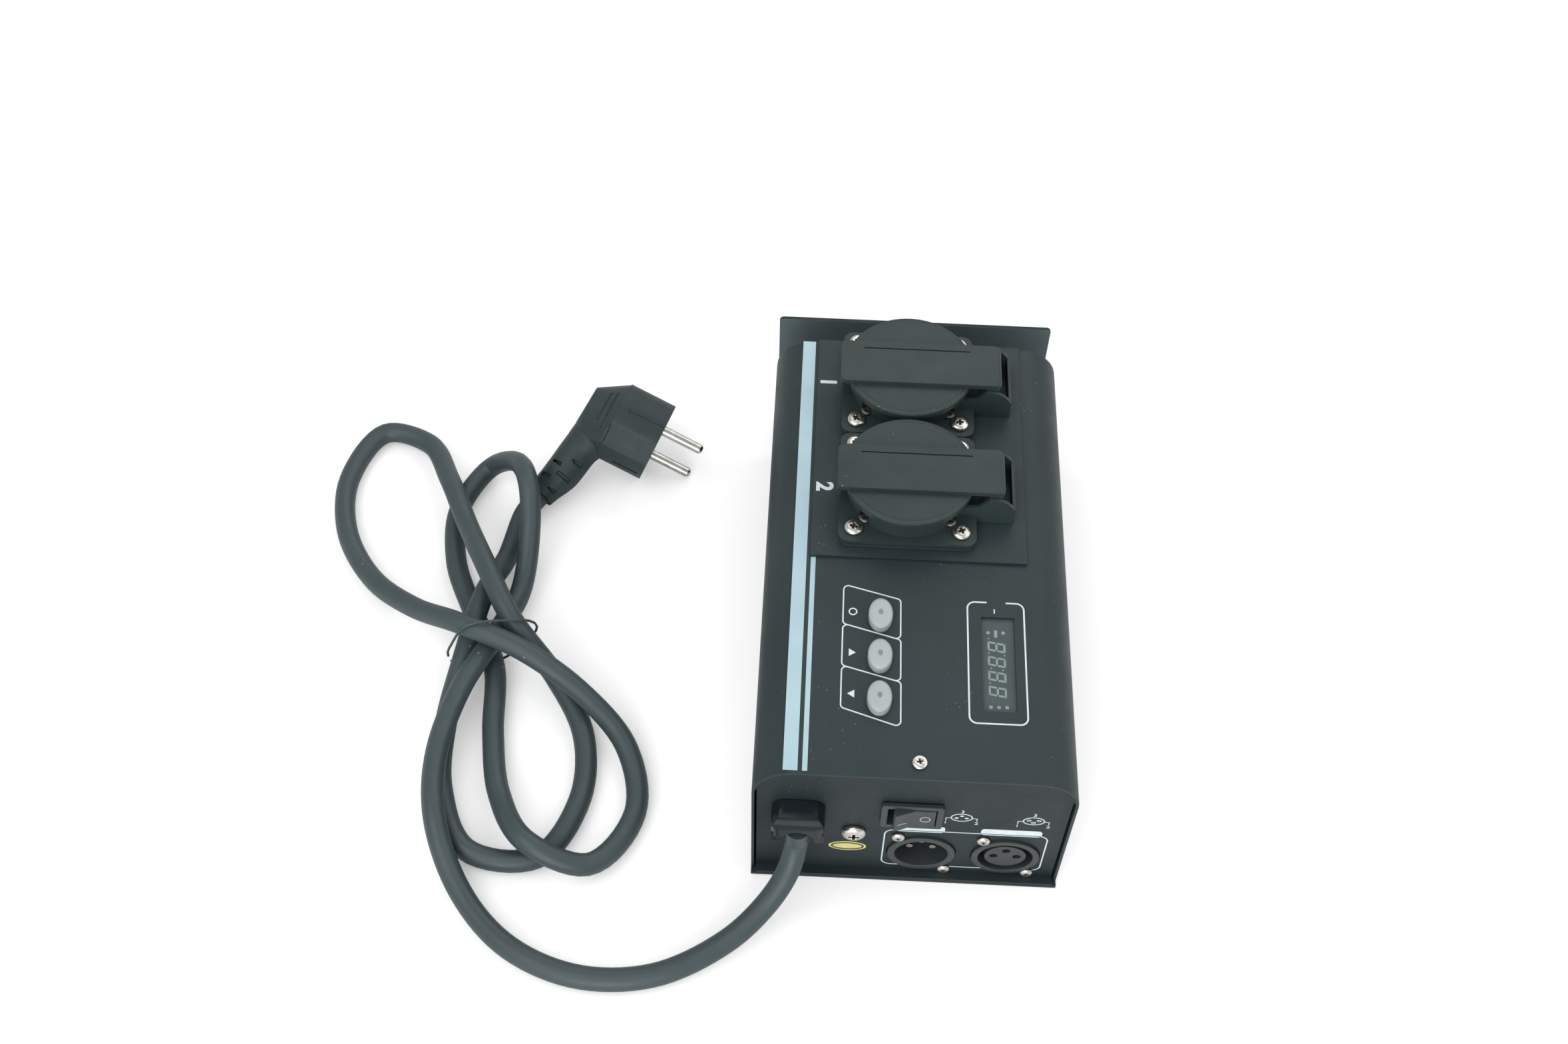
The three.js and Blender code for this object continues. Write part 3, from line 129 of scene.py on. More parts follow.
def marked(piece, wanted):  # these faces take the second finish
    for face in openMesh(piece).faces:
        face.material_index = 1 if wanted(face.calc_center_median() / mm, face.normal) else 0
    return closeMesh(piece)


def modified(piece, kind, **values):  # one modifier, set and applied
    takeUp(piece)
    modifier = piece.modifiers.new(kind.title(), kind)
    for key, value in values.items():
        setattr(modifier, key, value)
    bpy.ops.object.modifier_apply(modifier=modifier.name)
    return piece


def smoothed(piece, under=meshSettings.smoothUnder):
    takeUp(piece)
    bpy.ops.object.shade_smooth_by_angle(angle=math.radians(under))
    return piece


def eased(piece, width, angle=28, segments=2):  # edges rounded, flat faces kept flat
    if width:
        modified(
            piece, "BEVEL", width=width * mm, segments=segments, limit_method="ANGLE",
            angle_limit=math.radians(angle), use_clamp_overlap=True,
        )
    return modified(smoothed(piece), "WEIGHTED_NORMAL", keep_sharp=True, weight=meshSettings.flatWeight)


def placed(name, data):
    piece = bpy.data.objects.new(name, data)
    scene.collection.objects.link(piece)
    return piece


def meshed(piece):  # a curve or a text becomes a mesh
    takeUp(piece)
    bpy.ops.object.convert(target="MESH")
    return piece


def merged(nodeName):  # a copy of a CAD form, its loose triangles merged
    piece = placed(nodeName + "_dressed", nodes[nodeName].data.copy())
    openMesh(piece)
    bpy.ops.mesh.select_all(action="SELECT")
    bpy.ops.mesh.remove_doubles(threshold=meshSettings.looseCorners)
    bpy.ops.mesh.dissolve_limited(angle_limit=math.radians(meshSettings.flatWithin))
    return closeMesh(piece)


def subtracted(piece, *tools):
    for tool in tools:
        modified(piece, "BOOLEAN", operation="DIFFERENCE", object=tool, solver="EXACT")
        bpy.data.objects.remove(tool)
    return piece


def joined(piece, *others):
    clearSelection()
    for part in (*others, piece):
        part.select_set(True)
    bpy.context.view_layer.objects.active = piece
    bpy.ops.object.join()
    return piece


def finished(piece, finish, slot, *stoodFor, body="casing", second=None):  # second: faces marked 1
    indices = [face.material_index for face in piece.data.polygons] if second else []
    piece.data.materials.clear()
    piece.data.materials.append(finishes[finish])
    if second:
        piece.data.materials.append(finishes[second])
        for face, index in zip(piece.data.polygons, indices):
            face.material_index = index
    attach(piece, body)
    if stoodFor:
        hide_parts(*stoodFor)
    return piece


def dressed(nodeName, width, body="casing"):  # a CAD form with eased edges and its slot's finish
    slot = slots[nodeName]
    return finished(eased(merged(nodeName), width), slotFinishes[slot], slot, nodeName, body=body)


# the photograph's camera, its axes as columns of its turn
cameraSettings = Sizes(
    place=(-0.0400, -0.38635, 0.5957), sensor=36, lens=41.65, shift=(0.0016, -0.0003),
    right=(0.9989, 0.0441, 0.0153), up=(-0.0446, 0.8068, 0.5892), back=(0.0136, -0.5892, 0.8079),
)


def setCamera(form):
    bpy.ops.object.camera_add(location=form.place)
    camera = added("photo_camera")
    turn = Matrix((form.right, form.up, form.back)).transposed()
    camera.rotation_euler = turn.to_euler()
    camera.data.sensor_width = form.sensor
    camera.data.lens = form.lens
    camera.data.shift_x, camera.data.shift_y = form.shift
    scene.camera = camera


setCamera(cameraSettings)
print("dimmer pack: camera set")


def fed(tree, socket, value):  # an input takes a link or a value
    if isinstance(value, bpy.types.NodeSocket):
        tree.links.new(value, socket)
    else:
        socket.default_value = value


def node(tree, kind, *inputs, **named):  # inputs in order or by name, anything else is a property
    made = tree.nodes.new(kind)
    for key, value in named.items():
        if key in made.inputs:
            fed(tree, made.inputs[key], value)
        else:
            setattr(made, key, value)
    for socket, value in zip(made.inputs, inputs):
        fed(tree, socket, value)
    return made


def ranged(tree, value, low, high, start=0, end=1):  # low to high becomes start to end
    return node(tree, "ShaderNodeMapRange", value, low, high, start, end, clamp=True).outputs["Result"]


def multiplied(tree, first, second):
    return node(tree, "ShaderNodeMath", first, second, operation="MULTIPLY").outputs[0]


# what all finishes share: where the two shades end, how much finer the smears are, and how dust is spread
skinSettings = Sizes(
    stops=(0.3, 0.7), smear=3.1, bumpDepth=0.00005, spread=9, sparse=(0.6, 0.68), fade=0.4,
)


def dusted(tree, place, colour, tone, amount, scale, size):  # dust and small nicks, sparse and pale
    specks = node(tree, "ShaderNodeTexVoronoi", Vector=place, Scale=scale, Randomness=1.0)
    spread = node(tree, "ShaderNodeTexNoise", Vector=place, Scale=scale / skinSettings.spread, Detail=1.0)
    near = ranged(tree, specks.outputs["Distance"], size, size * skinSettings.fade)
    sparse = ranged(tree, spread.outputs["Fac"], *skinSettings.sparse)
    share = multiplied(tree, multiplied(tree, near, sparse), amount)
    blend = node(tree, "ShaderNodeMix", data_type="RGBA")
    for k, value in ((0, share), (6, colour), (7, (*tone, 1))):  # its factor and its two colours
        fed(tree, blend.inputs[k], value)
    return blend.outputs[2]


def makeFinish(
    name, shade, tone, cloud, rough, grain, bump, metal=0.0, specular=0.5, stretch=(1, 1, 1), dust=None,
    dustTone=(0.4, 0.42, 0.42),
):
    material = bpy.data.materials.new(name)
    material.use_nodes = True
    tree = material.node_tree
    shader = tree.nodes["Principled BSDF"]
    place = node(tree, "ShaderNodeTexCoord").outputs["Object"]
    # broad tone: two shades drift into each other
    clouds = node(tree, "ShaderNodeTexNoise", Vector=place, Scale=cloud, Detail=4.0, Roughness=0.6)
    drift = node(tree, "ShaderNodeValToRGB", Fac=clouds.outputs["Fac"])
    for stop, at, end in zip(drift.color_ramp.elements, skinSettings.stops, (shade, tone)):
        stop.position, stop.color = at, (*end, 1)
    colour = drift.outputs["Color"]
    if dust:
        colour = dusted(tree, place, colour, dustTone, *dust)
    fed(tree, shader.inputs["Base Color"], colour)
    # roughness follows its own patches
    finer = cloud * skinSettings.smear
    smear = node(tree, "ShaderNodeTexNoise", Vector=place, Scale=finer, Detail=5.0, Roughness=0.7)
    patches = ranged(tree, smear.outputs["Fac"], *skinSettings.stops, *rough)
    fed(tree, shader.inputs["Roughness"], patches)
    # grain
    along = node(tree, "ShaderNodeMapping", Scale=stretch, Vector=place).outputs["Vector"]
    fine = node(tree, "ShaderNodeTexNoise", Scale=grain, Detail=3.0, Roughness=0.55, Vector=along)
    rise = node(
        tree, "ShaderNodeBump", Strength=bump, Distance=skinSettings.bumpDepth, Height=fine.outputs["Fac"],
    )
    fed(tree, shader.inputs["Normal"], rise.outputs["Normal"])
    shader.inputs["Metallic"].default_value = metal
    shader.inputs["Specular IOR Level"].default_value = specular
    return material


# finishes: two shades, the size of the clouds they drift in, roughness from and to, grain size and depth
finishLooks = {
    "casePaint": ((0.017, 0.0275, 0.030), (0.023, 0.0355, 0.038), 18, (0.42, 0.55), 1500, 0.35),
    # a darker copy of the case paint for the base plate and front panel: painted shade
    "panelPaint": ((0.012, 0.0195, 0.0215), (0.016, 0.025, 0.027), 18, (0.45, 0.6), 1500, 0.35),
    # a lighter copy of the case paint for the hanging flange's front: painted light
    "flangePaint": ((0.088, 0.122, 0.127), (0.105, 0.142, 0.149), 22, (0.45, 0.6), 1400, 0.35),
    "socketPlastic": ((0.019, 0.031, 0.031), (0.026, 0.040, 0.039), 30, (0.36, 0.5), 2600, 0.2),
    "panelPlastic": ((0.022, 0.028, 0.030), (0.030, 0.037, 0.039), 40, (0.34, 0.48), 2400, 0.15),
    "glandPlastic": ((0.008, 0.012, 0.014), (0.013, 0.018, 0.021), 60, (0.2, 0.3), 900, 0.12),
    "cordRubber": ((0.031, 0.048, 0.053), (0.041, 0.061, 0.067), 26, (0.4, 0.55), 1300, 0.2),
    "plugPlastic": ((0.0165, 0.0285, 0.0295), (0.0225, 0.037, 0.038), 40, (0.45, 0.6), 1800, 0.25),
    "screwSteel": ((0.55, 0.53, 0.48), (0.72, 0.70, 0.64), 400, (0.2, 0.34), 1600, 0.12),
    # screw steel darkened for the clamp screws in the well under the lids: painted shade
    "clampSteel": ((0.12, 0.12, 0.11), (0.2, 0.2, 0.18), 400, (0.4, 0.55), 1600, 0.12),
    # dark finish for the screws' cross recesses: painted shade
    "recessShade": ((0.03, 0.03, 0.028), (0.07, 0.068, 0.06), 500, (0.4, 0.6), 1600, 0.2),
    "pinNickel": ((0.36, 0.36, 0.33), (0.56, 0.56, 0.52), 260, (0.14, 0.24), 500, 0.06),
    # contact metal kept dark for the pin tips deep in the connectors: painted shade
    "contactSilver": ((0.3, 0.29, 0.27), (0.42, 0.41, 0.38), 120, (0.25, 0.4), 900, 0.1),
    "springSteel": ((0.4, 0.4, 0.4), (0.55, 0.55, 0.54), 200, (0.25, 0.4), 1200, 0.1),
    "buttonPlastic": ((0.30, 0.35, 0.345), (0.35, 0.40, 0.385), 60, (0.38, 0.5), 2500, 0.1),
    # darker finish for the buttons' dimples: painted shade
    "dimpleShade": ((0.19, 0.22, 0.21), (0.24, 0.27, 0.26), 200, (0.4, 0.5), 2500, 0.1),
    "stripePaint": ((0.32, 0.455, 0.51), (0.37, 0.51, 0.56), 60, (0.3, 0.5), 700, 0.3),
    "whitePrint": ((0.52, 0.60, 0.62), (0.62, 0.70, 0.72), 300, (0.4, 0.6), 2500, 0.15),
    "dullPrint": ((0.30, 0.34, 0.34), (0.38, 0.42, 0.42), 300, (0.4, 0.6), 2500, 0.15),
    "displayFace": ((0.053, 0.070, 0.073), (0.064, 0.083, 0.086), 60, (0.3, 0.42), 2500, 0.05),
    "displaySegment": ((0.175, 0.222, 0.222), (0.215, 0.268, 0.262), 200, (0.3, 0.4), 2500, 0.05),
    "boardGreen": ((0.02, 0.12, 0.045), (0.03, 0.16, 0.06), 80, (0.35, 0.5), 1500, 0.15),
    "terminalPlastic": ((0.02, 0.13, 0.06), (0.03, 0.17, 0.08), 80, (0.35, 0.5), 2000, 0.15),
    "aluminium": ((0.52, 0.53, 0.54), (0.62, 0.63, 0.64), 60, (0.3, 0.45), 900, 0.15),
    "packagePlastic": ((0.012, 0.013, 0.013), (0.018, 0.019, 0.019), 60, (0.45, 0.6), 2000, 0.2),
    "ferrite": ((0.09, 0.06, 0.03), (0.13, 0.09, 0.045), 80, (0.5, 0.65), 1500, 0.3),
    "stickerYellow": ((0.50, 0.48, 0.16), (0.60, 0.58, 0.22), 200, (0.35, 0.5), 1500, 0.1),
    "stickerInk": ((0.025, 0.027, 0.015), (0.04, 0.042, 0.025), 200, (0.4, 0.5), 1500, 0.1),
}
# what only some have: dust is its amount, scale and size
bareMetal = {"metal": 1.0}
finishExtras = {
    "casePaint": {"specular": 0.27, "dust": (0.3, 420, 0.12)},
    "panelPaint": {"specular": 0.25, "dust": (0.3, 420, 0.12)},
    "flangePaint": {"specular": 0.45, "dust": (0.4, 300, 0.16)},
    "socketPlastic": {"specular": 0.28, "dust": (0.5, 420, 0.14)},
    "panelPlastic": {"specular": 0.45}, "glandPlastic": {"specular": 0.16}, "plugPlastic": {"specular": 0.32},
    "cordRubber": {"specular": 0.45, "dust": (0.35, 260, 0.15)}, "displayFace": {"specular": 0.2},
    "screwSteel": bareMetal, "clampSteel": bareMetal, "pinNickel": bareMetal, "contactSilver": bareMetal,
    "springSteel": bareMetal, "recessShade": {"metal": 0.6},
    "aluminium": {"metal": 1.0, "stretch": (1, 0.1, 1)},
    "stripePaint": {"stretch": (6, 0.12, 1), "dust": (0.5, 240, 0.18), "dustTone": (0.25, 0.3, 0.32)},
}
finishes = {name: makeFinish(name, *look, **finishExtras.get(name, {})) for name, look in finishLooks.items()}
slotFinishes = {"contact_metal": "contactSilver", "board": "boardGreen", "display": "displayFace"}
for slot in slots.values():  # the other slots and their finishes are named alike
    first, *others = slot.split("_")
    slotFinishes.setdefault(slot, first + "".join(word.title() for word in others))
print("dimmer pack: finishes mixed")


def drawn(name, lines, flat=False):  # a curve through the points of each line, closed when flat
    shape = bpy.data.curves.new(name, "CURVE")
    shape.dimensions = "2D" if flat else "3D"
    for line in lines:
        spline = shape.splines.new("POLY")
        spline.points.add(len(line) - 1)
        spline.use_cyclic_u = flat
        for point, (x, y, *z) in zip(spline.points, line):
            point.co = (x * mm, y * mm, z[0] * mm if z else 0, 1)
    return placed(name, shape)


# mains cord: the route that its solid follows
cordSettings = Sizes(
    diameter=8.2, samples=420, sides=6, exit=(-38.3, -109.25, 40.7),
    start=[(-38.3, -109.25, 40.7), (-38.3, -109.25, 36.19), (-38.3, -109.25, 31.68)],
    route=[
        (-41, -116, 21.5), (-48, -124.5, 12.5), (-61, -136, 6.5), (-84.5, -148.5, 4.5), (-111, -150.5, 4.5),
        (-136, -141, 4.5), (-155, -122, 5), (-166.5, -99, 13), (-170, -73, 14), (-165, -46, 15.5),
        (-155.5, -21, 14), (-149.5, 5, 8), (-148.5, 31, 18), (-151, 46, 24), (-158, 59, 18),
        (-170.5, 64, 6), (-180, 44, 4.5), (-177.5, 18, 4.5), (-166.5, -7, 4.4), (-155.5, -31, 6),
        (-152.5, -58, 4.5), (-146.5, -84, 7), (-133, -106, 14), (-111, -110, 7), (-97, -88, 4.5),
        (-102.5, -62, 6), (-120.5, -44, 13), (-143.5, -32, 22), (-168, -22, 22.5), (-189, -9, 12),
        (-209, 8, 5), (-223, 30, 4.4), (-227, 57, 4.4), (-216.5, 81, 4.5), (-197.5, 76, 5.5),
        (-184.5, 53, 12), (-173.5, 29, 15.5), (-162, 5, 22.8), (-149, -18, 20.5), (-132, -34, 7),
        (-119, -57, 4.5), (-117.5, -84, 4.5), (-130, -107, 4.4), (-155.5, -105.5, 4.4), (-168, -82, 4.7),
        (-170.5, -55, 4.7), (-167, -30, 10.4), (-162.5, -4, 14.8), (-157.5, 21, 5.4),
    ],
    last=(9.32, 4.81, 0.3),
)
plugSettings = Sizes(
    place=(-102, 73.45, 15.95), turn=(0.3, 18.3, -17.1), radius=16.5, drum=19.9,
    tailEnd=(-1.98, -2.14, -1.24), tailAlong=(-0.24, -0.93, -0.28),
)


def plugFrame():
    x, y, z = [math.radians(angle) for angle in plugSettings.turn]
    turn = Matrix.Rotation(z, 4, "Z") @ Matrix.Rotation(y, 4, "Y") @ Matrix.Rotation(x, 4, "X")
    return Matrix.Translation(Vector(plugSettings.place)) @ turn


def smoothLine(points, samples):  # centripetal Catmull-Rom through the points
    points = [Vector(p) for p in points]
    line = []
    spans = len(points) - 1
    for i in range(samples + 1):
        at = spans * i / samples
        k = min(int(at), spans - 1)
        t = at - k
        p1, p2 = points[k], points[k + 1]
        p0 = points[k - 1] if k > 0 else p1 * 2 - p2
        p3 = points[k + 2] if k + 2 <= spans else p2 * 2 - p1
        d0, d1, d2 = [max((b - a).length ** 0.5, 1e-4) for a, b in ((p0, p1), (p1, p2), (p2, p3))]
        m1 = ((p1 - p0) / d0 - (p2 - p0) / (d0 + d1) + (p2 - p1) / d1) * d1
        m2 = ((p2 - p1) / d1 - (p3 - p1) / (d1 + d2) + (p3 - p2) / d2) * d1
        a, b = p1 * 2 - p2 * 2 + m1 + m2, p2 * 3 - p1 * 3 - m1 * 2 - m2
        line.append(a * t ** 3 + b * t ** 2 + m1 * t + p1)
    return line


def cordRoute():  # from the gland to the end of the plug's tail
    turned = plugFrame()
    end = turned @ (Vector(plugSettings.tailEnd) * plugSettings.radius)
    away = (turned.to_3x3() @ Vector(plugSettings.tailAlong)).normalized()
    last = [end + away * reach for reach in cordSettings.last]
    return cordSettings.start + cordSettings.route + last


def roundedWire(piece, radius, sides):  # the drawn line becomes a round bar
    piece.data.bevel_depth = radius * mm
    piece.data.bevel_resolution = sides
    piece.data.use_fill_caps = True
    return piece


cordLine = smoothLine(cordRoute(), cordSettings.samples)
mainsCord = roundedWire(drawn("mains_cord", [cordLine]), cordSettings.diameter / 2, cordSettings.sides)
mainsCord.data.splines[0].use_smooth = True
finished(mainsCord, "cordRubber", "cord_rubber", "power_cord")

# studio: a pale floor, a white surround and four soft lamps, given as place, size and power
studioSettings = Sizes(
    floor=0.80, floorGlow=0.27, world=0.58, floorSize=2.3, floorAt=-0.0002,
    lamps={
        "key": ((-0.8, -0.6, 1.7), 1.6, 15), "front": ((-0.3, -1.7, 0.6), 1.3, 20),
        "fill": ((1.3, 0.1, 1.2), 1.6, 9), "back": ((0.3, 1.4, 1.3), 1.4, 9),
    },
)


def seenBrighter(tree, plain, bright, out):  # the camera sees the bright one, the light meets the plain one
    seen = node(tree, "ShaderNodeLightPath").outputs["Is Camera Ray"]
    pick = node(tree, "ShaderNodeMixShader", seen, plain.outputs[0], bright.outputs[0])
    node(tree, out, pick.outputs[0])


def bareTree(owner):
    owner.use_nodes = True
    owner.node_tree.nodes.clear()
    return owner.node_tree


def buildStudio(form):
    white = (1, 1, 1, 1)
    scene.world = bpy.data.worlds.new("studio_air")
    tree = bareTree(scene.world)
    soft = node(tree, "ShaderNodeBackground", Color=white, Strength=form.world)
    full = node(tree, "ShaderNodeBackground", Color=white, Strength=1.0)
    seenBrighter(tree, soft, full, "ShaderNodeOutputWorld")
    clearSelection()
    bpy.ops.mesh.primitive_plane_add(size=form.floorSize, location=(0, 0, form.floorAt))
    floor = added("studio_floor")
    material = bpy.data.materials.new("paleFloor")
    tree = bareTree(material)
    matt = node(tree, "ShaderNodeBsdfDiffuse", Color=(form.floor,) * 3 + (1,))
    glow = node(tree, "ShaderNodeEmission", Color=white, Strength=form.floorGlow)
    both = node(tree, "ShaderNodeAddShader", matt.outputs[0], glow.outputs[0])
    seenBrighter(tree, matt, both, "ShaderNodeOutputMaterial")
    floor.data.materials.append(material)
    for name, (place, size, power) in form.lamps.items():
        bpy.ops.object.light_add(type="AREA", location=place)
        light = added(name + "_lamp")
        light.data.size = size
        light.data.energy = power
        light.rotation_euler = (-Vector(place)).to_track_quat("-Z", "Y").to_euler()


buildStudio(studioSettings)
print("dimmer pack: studio lit")

# sheet metal: the front panel's sides run up to the cover; base plate and front panel get a darker copy of
# the case paint, painted shade
# the hanging flange's front gets a lighter copy of the case paint, painted light
caseSettings = Sizes(
    edges={
        "base_plate": 0.35, "cover": 0.3, "front_panel": 0.2, "rear_panel": 0.2, "socket_plate": 0.2,
    },
    panelCoated=("base_plate", "front_panel"), panelReach=0.8, panelSideFrom=47, panelFrontTo=-102.8,
    flangeFrom=85,
)


def dressCase(form):
    for name, width in form.edges.items():
        sheet = merged(name)
        if name == "front_panel":
            for side in (-1, 1):
                pickPoints(sheet, lambda at: at.x * side > form.panelSideFrom and at.y < form.panelFrontTo)
                bpy.ops.transform.translate(value=(side * form.panelReach * mm, 0, 0))
                closeMesh(sheet)
        eased(sheet, width)
        if name == "base_plate":
            # the flange's front faces take the lighter copy of the paint: painted light
            marked(sheet, lambda c, n: c.y > form.flangeFrom and n.y < -0.5)
        # the base plate and front panel take the darker copy of the paint: painted shade
        paintAndShade = "panelPaint" if name in form.panelCoated else "casePaint"
        finished(sheet, paintAndShade, "case_paint", name, second="flangePaint")


dressCase(caseSettings)
print("dimmer pack: casing dressed")


# forms that several pieces start from
def spunForm(name, outline, sides=48):  # spun from half its outline, given as (from the axis, height)
    piece = meshed(drawn(name, [[(away, 0, height) for away, height in outline]]))
    openMesh(piece, "VERT")
    bpy.ops.mesh.select_all(action="SELECT")
    bpy.ops.mesh.spin(steps=sides, angle=2 * math.pi, center=(0, 0, 0), axis=(0, 0, 1))
    return closeMesh(piece, mend=True)


def moved(piece, place, turn=(0, 0, 0)):  # placed and turned, then settled
    piece.rotation_euler = [math.radians(angle) for angle in turn]
    piece.location = [v * mm for v in place]
    return settle(piece)


def slab(name, x0, x1, y0, y1, z0, z1):  # a block between two corners
    clearSelection()
    middle = [(a + b) / 2 * mm for a, b in ((x0, x1), (y0, y1), (z0, z1))]
    bpy.ops.mesh.primitive_cube_add(size=1, location=middle)
    piece = added(name)
    bpy.ops.transform.resize(value=((x1 - x0) * mm, (y1 - y0) * mm, (z1 - z0) * mm))
    return settle(piece)


def roundBar(name, start, end, radius, sides=40):  # a cylinder between two points
    start, end = Vector(start), Vector(end)
    clearSelection()
    bpy.ops.mesh.primitive_cylinder_add(vertices=sides, radius=radius * mm, depth=(end - start).length * mm)
    piece = added(name)
    piece.rotation_mode = "QUATERNION"
    piece.rotation_quaternion = (end - start).to_track_quat("Z", "Y")
    piece.location = (start + end) / 2 * mm
    return settle(piece)


def around(count):  # the angles of even steps round a circle
    return [2 * math.pi * k / count for k in range(count)]


def square(x0, x1, y0, y1):  # the corners of a rectangle
    return [(x0, y0), (x1, y0), (x1, y1), (x0, y1)]


def cornered(points, radius, steps=7):  # an outline with round corners
    loop = []
    for i, corner in enumerate(points):
        corner = Vector(corner)
        before = (Vector(points[i - 1]) - corner).normalized()
        after = (Vector(points[(i + 1) % len(points)]) - corner).normalized()
        half = before.angle(after) / 2
        start, end = corner + before * radius / math.tan(half), corner + after * radius / math.tan(half)
        middle = corner + (before + after).normalized() * radius / math.sin(half)
        for k in range(steps + 1):
            loop.append(middle + (start - middle).lerp(end - middle, k / steps).normalized() * radius)
    return loop


def ovalLoop(x, y, across, along=None, steps=36):
    along = along or across
    return [Vector((x + across / 2 * math.cos(a), y + along / 2 * math.sin(a))) for a in around(steps)]


def stroked(line, width, closed=True):  # both sides of a drawn line
    left, right = [], []
    line = [Vector(at) for at in line]
    for i, at in enumerate(line):
        before = line[i - 1] if i or closed else at
        after = line[(i + 1) % len(line)] if i < len(line) - 1 or closed else at
        way = (after - before).normalized()
        across = Vector((-way.y, way.x)) * width / 2
        left.append(at + across)
        right.append(at - across)
    return [left, right] if closed else [left + right[::-1]]


# prints are flat loops and digits, made into thin meshes
printSettings = Sizes(thick=0.06, digitSize=1.38)


def printed(name, loops, place=(0, 0, 0), turn=(0, 0, 0), thick=printSettings.thick):
    piece = drawn(name, loops, flat=True)
    piece.data.fill_mode = "BOTH"
    piece.data.extrude = thick / 2 * mm
    return moved(meshed(piece), place, turn)


def numeral(name, digit, height, place, turn, bold=0.01):
    clearSelection()
    bpy.ops.object.text_add(location=(0, 0, 0))
    piece = added(name)
    piece.data.body = digit
    piece.data.size = height * printSettings.digitSize * mm
    piece.data.extrude = printSettings.thick / 2 * mm
    piece.data.offset = height * bold * mm
    piece.data.align_x = "CENTER"
    piece.data.align_y = "CENTER"
    return moved(meshed(piece), place, turn)


# sockets: a round lid under a strap that bends down to the hinge, everything else from the solids
socketSettings = Sizes(
    rows=((-4.16, 58.65, 73.5), (-4.16, 9.35, 73.5)),
    edges={"body": 0.3, "insert": 0.2, "earth_clip": 0.1},
    disc=23.75, sides=112, under=10.8, underEase=(0.5, 0.4), top=13.6, rim=0.4,
    ditch=(1.4, 0.1, 2), strap=(-25.54, 33.86), strapWidth=19.5, strapHeights=(13.1, 15.5),
    corner=2.4, soft=0.28, bend=1.6, groove=(-17.14, 22.36, 6.3, 0.55, 0.6),
    lip=Sizes(deep=5.6, near=0.1, far=1.8, aside=1.7, bite=1),
    end=Sizes(near=1.4, far=0.05, aside=1.9, bite=0.4),
    hinge=(29.76, 8.9), knuckle=3, knuckleLength=4.5, web=(1.5, 0.7, 0.5),
)


def bentPlate(name, edge, heights, soft, bend, steps=6):  # its upper rim is rounder towards +X
    piece = placed(name, bpy.data.meshes.new(name))
    low, high = heights
    outward = []
    for i in range(len(edge)):
        along = edge[(i + 1) % len(edge)] - edge[i - 1]
        outward.append(Vector((along.y, -along.x)).normalized())
    rims = [soft + (bend - soft) * max(0, n.x) ** 2 for n in outward]
    rings = [[(at - n * soft, low) for at, n in zip(edge, outward)], [(at, low + soft) for at in edge]]
    for k in range(steps + 1):
        turn = math.pi / 2 * k / steps
        rings.append([
            (at - n * rim * (1 - math.cos(turn)), high - rim * (1 - math.sin(turn)))
            for at, n, rim in zip(edge, outward, rims)
        ])
    shape = bmesh.new()
    rings = [[shape.verts.new((at.x * mm, at.y * mm, height * mm)) for at, height in ring] for ring in rings]
    shape.faces.new(rings[0][::-1])
    shape.faces.new(rings[-1])
    for lower, upper in zip(rings, rings[1:]):
        for i in range(len(edge)):
            shape.faces.new((lower[i - 1], lower[i], upper[i], upper[i - 1]))
    shape.to_mesh(piece.data)
    shape.free()
    openMesh(piece)
    return closeMesh(piece, mend=True)


def modelLid(form):
    disc, rim, under, top = [form[key] for key in ("disc", "rim", "under", "top")]
    inward, upward = form.underEase
    near, deep, far = form.ditch
    plate = spunForm("lid_plate", [
        (0, under), (disc - inward, under), (disc, under + upward), (disc, top - rim),
        (disc - rim * 0.3, top - rim * 0.3), (disc - rim, top), (disc - rim - near, top - deep),
        (disc - rim - far, top), (0, top),
    ], form.sides)
    left, right = form.strap
    half = form.strapWidth / 2
    low, high = form.strapHeights
    edge = cornered(square(left, right, -half, half), form.corner, 9)
    strap = bentPlate("lid_strap", edge, (low, high), form.soft, form.bend)
    g0, g1, gy, wide, deep = form.groove
    subtracted(strap, slab("lid_groove", g0, g1, gy - wide / 2, gy + wide / 2, high - deep, high + 1))
    hingeX, hingeZ = form.hinge
    lip, end = form.lip, form.end
    aside = half - lip.aside
    parts = [eased(strap, 0, 40), eased(slab(
        "lid_lip", left + lip.near, left + lip.far, -aside, aside, low - lip.deep, low + lip.bite,
    ), 0.5, 40, 3)]
    aside = half - end.aside
    parts.append(eased(slab(
        "lid_end", right - end.near, right - end.far, -aside, aside, hingeZ, low + end.bite,
    ), 0.25, 40))
    back, short, bite = form.web
    for side in (-1, 1):
        start, stop = side * half, side * (half - form.knuckleLength)
        knuckle = roundBar("lid_knuckle", (hingeX, start, hingeZ), (hingeX, stop, hingeZ), form.knuckle)
        web = slab(
            "lid_web", hingeX - back, right - short, min(start, stop), max(start, stop), hingeZ, low + bite,
        )
        parts += [eased(knuckle, 0.2, 40), eased(web, 0.2, 40)]
    return joined(plate, *parts)


lidModel = modelLid(socketSettings)
for row, place in enumerate(socketSettings.rows, 1):
    for part, width in socketSettings.edges.items():
        dressed(f"socket_{row}_{part}", width)
    lid = moved(placed(f"lid_cap_{row}", lidModel.data.copy()), place)
    finished(lid, "socketPlastic", "socket_plastic", f"socket_{row}_lid", body=f"lid_{row}")
bpy.data.objects.remove(lidModel)
print("dimmer pack: sockets dressed")

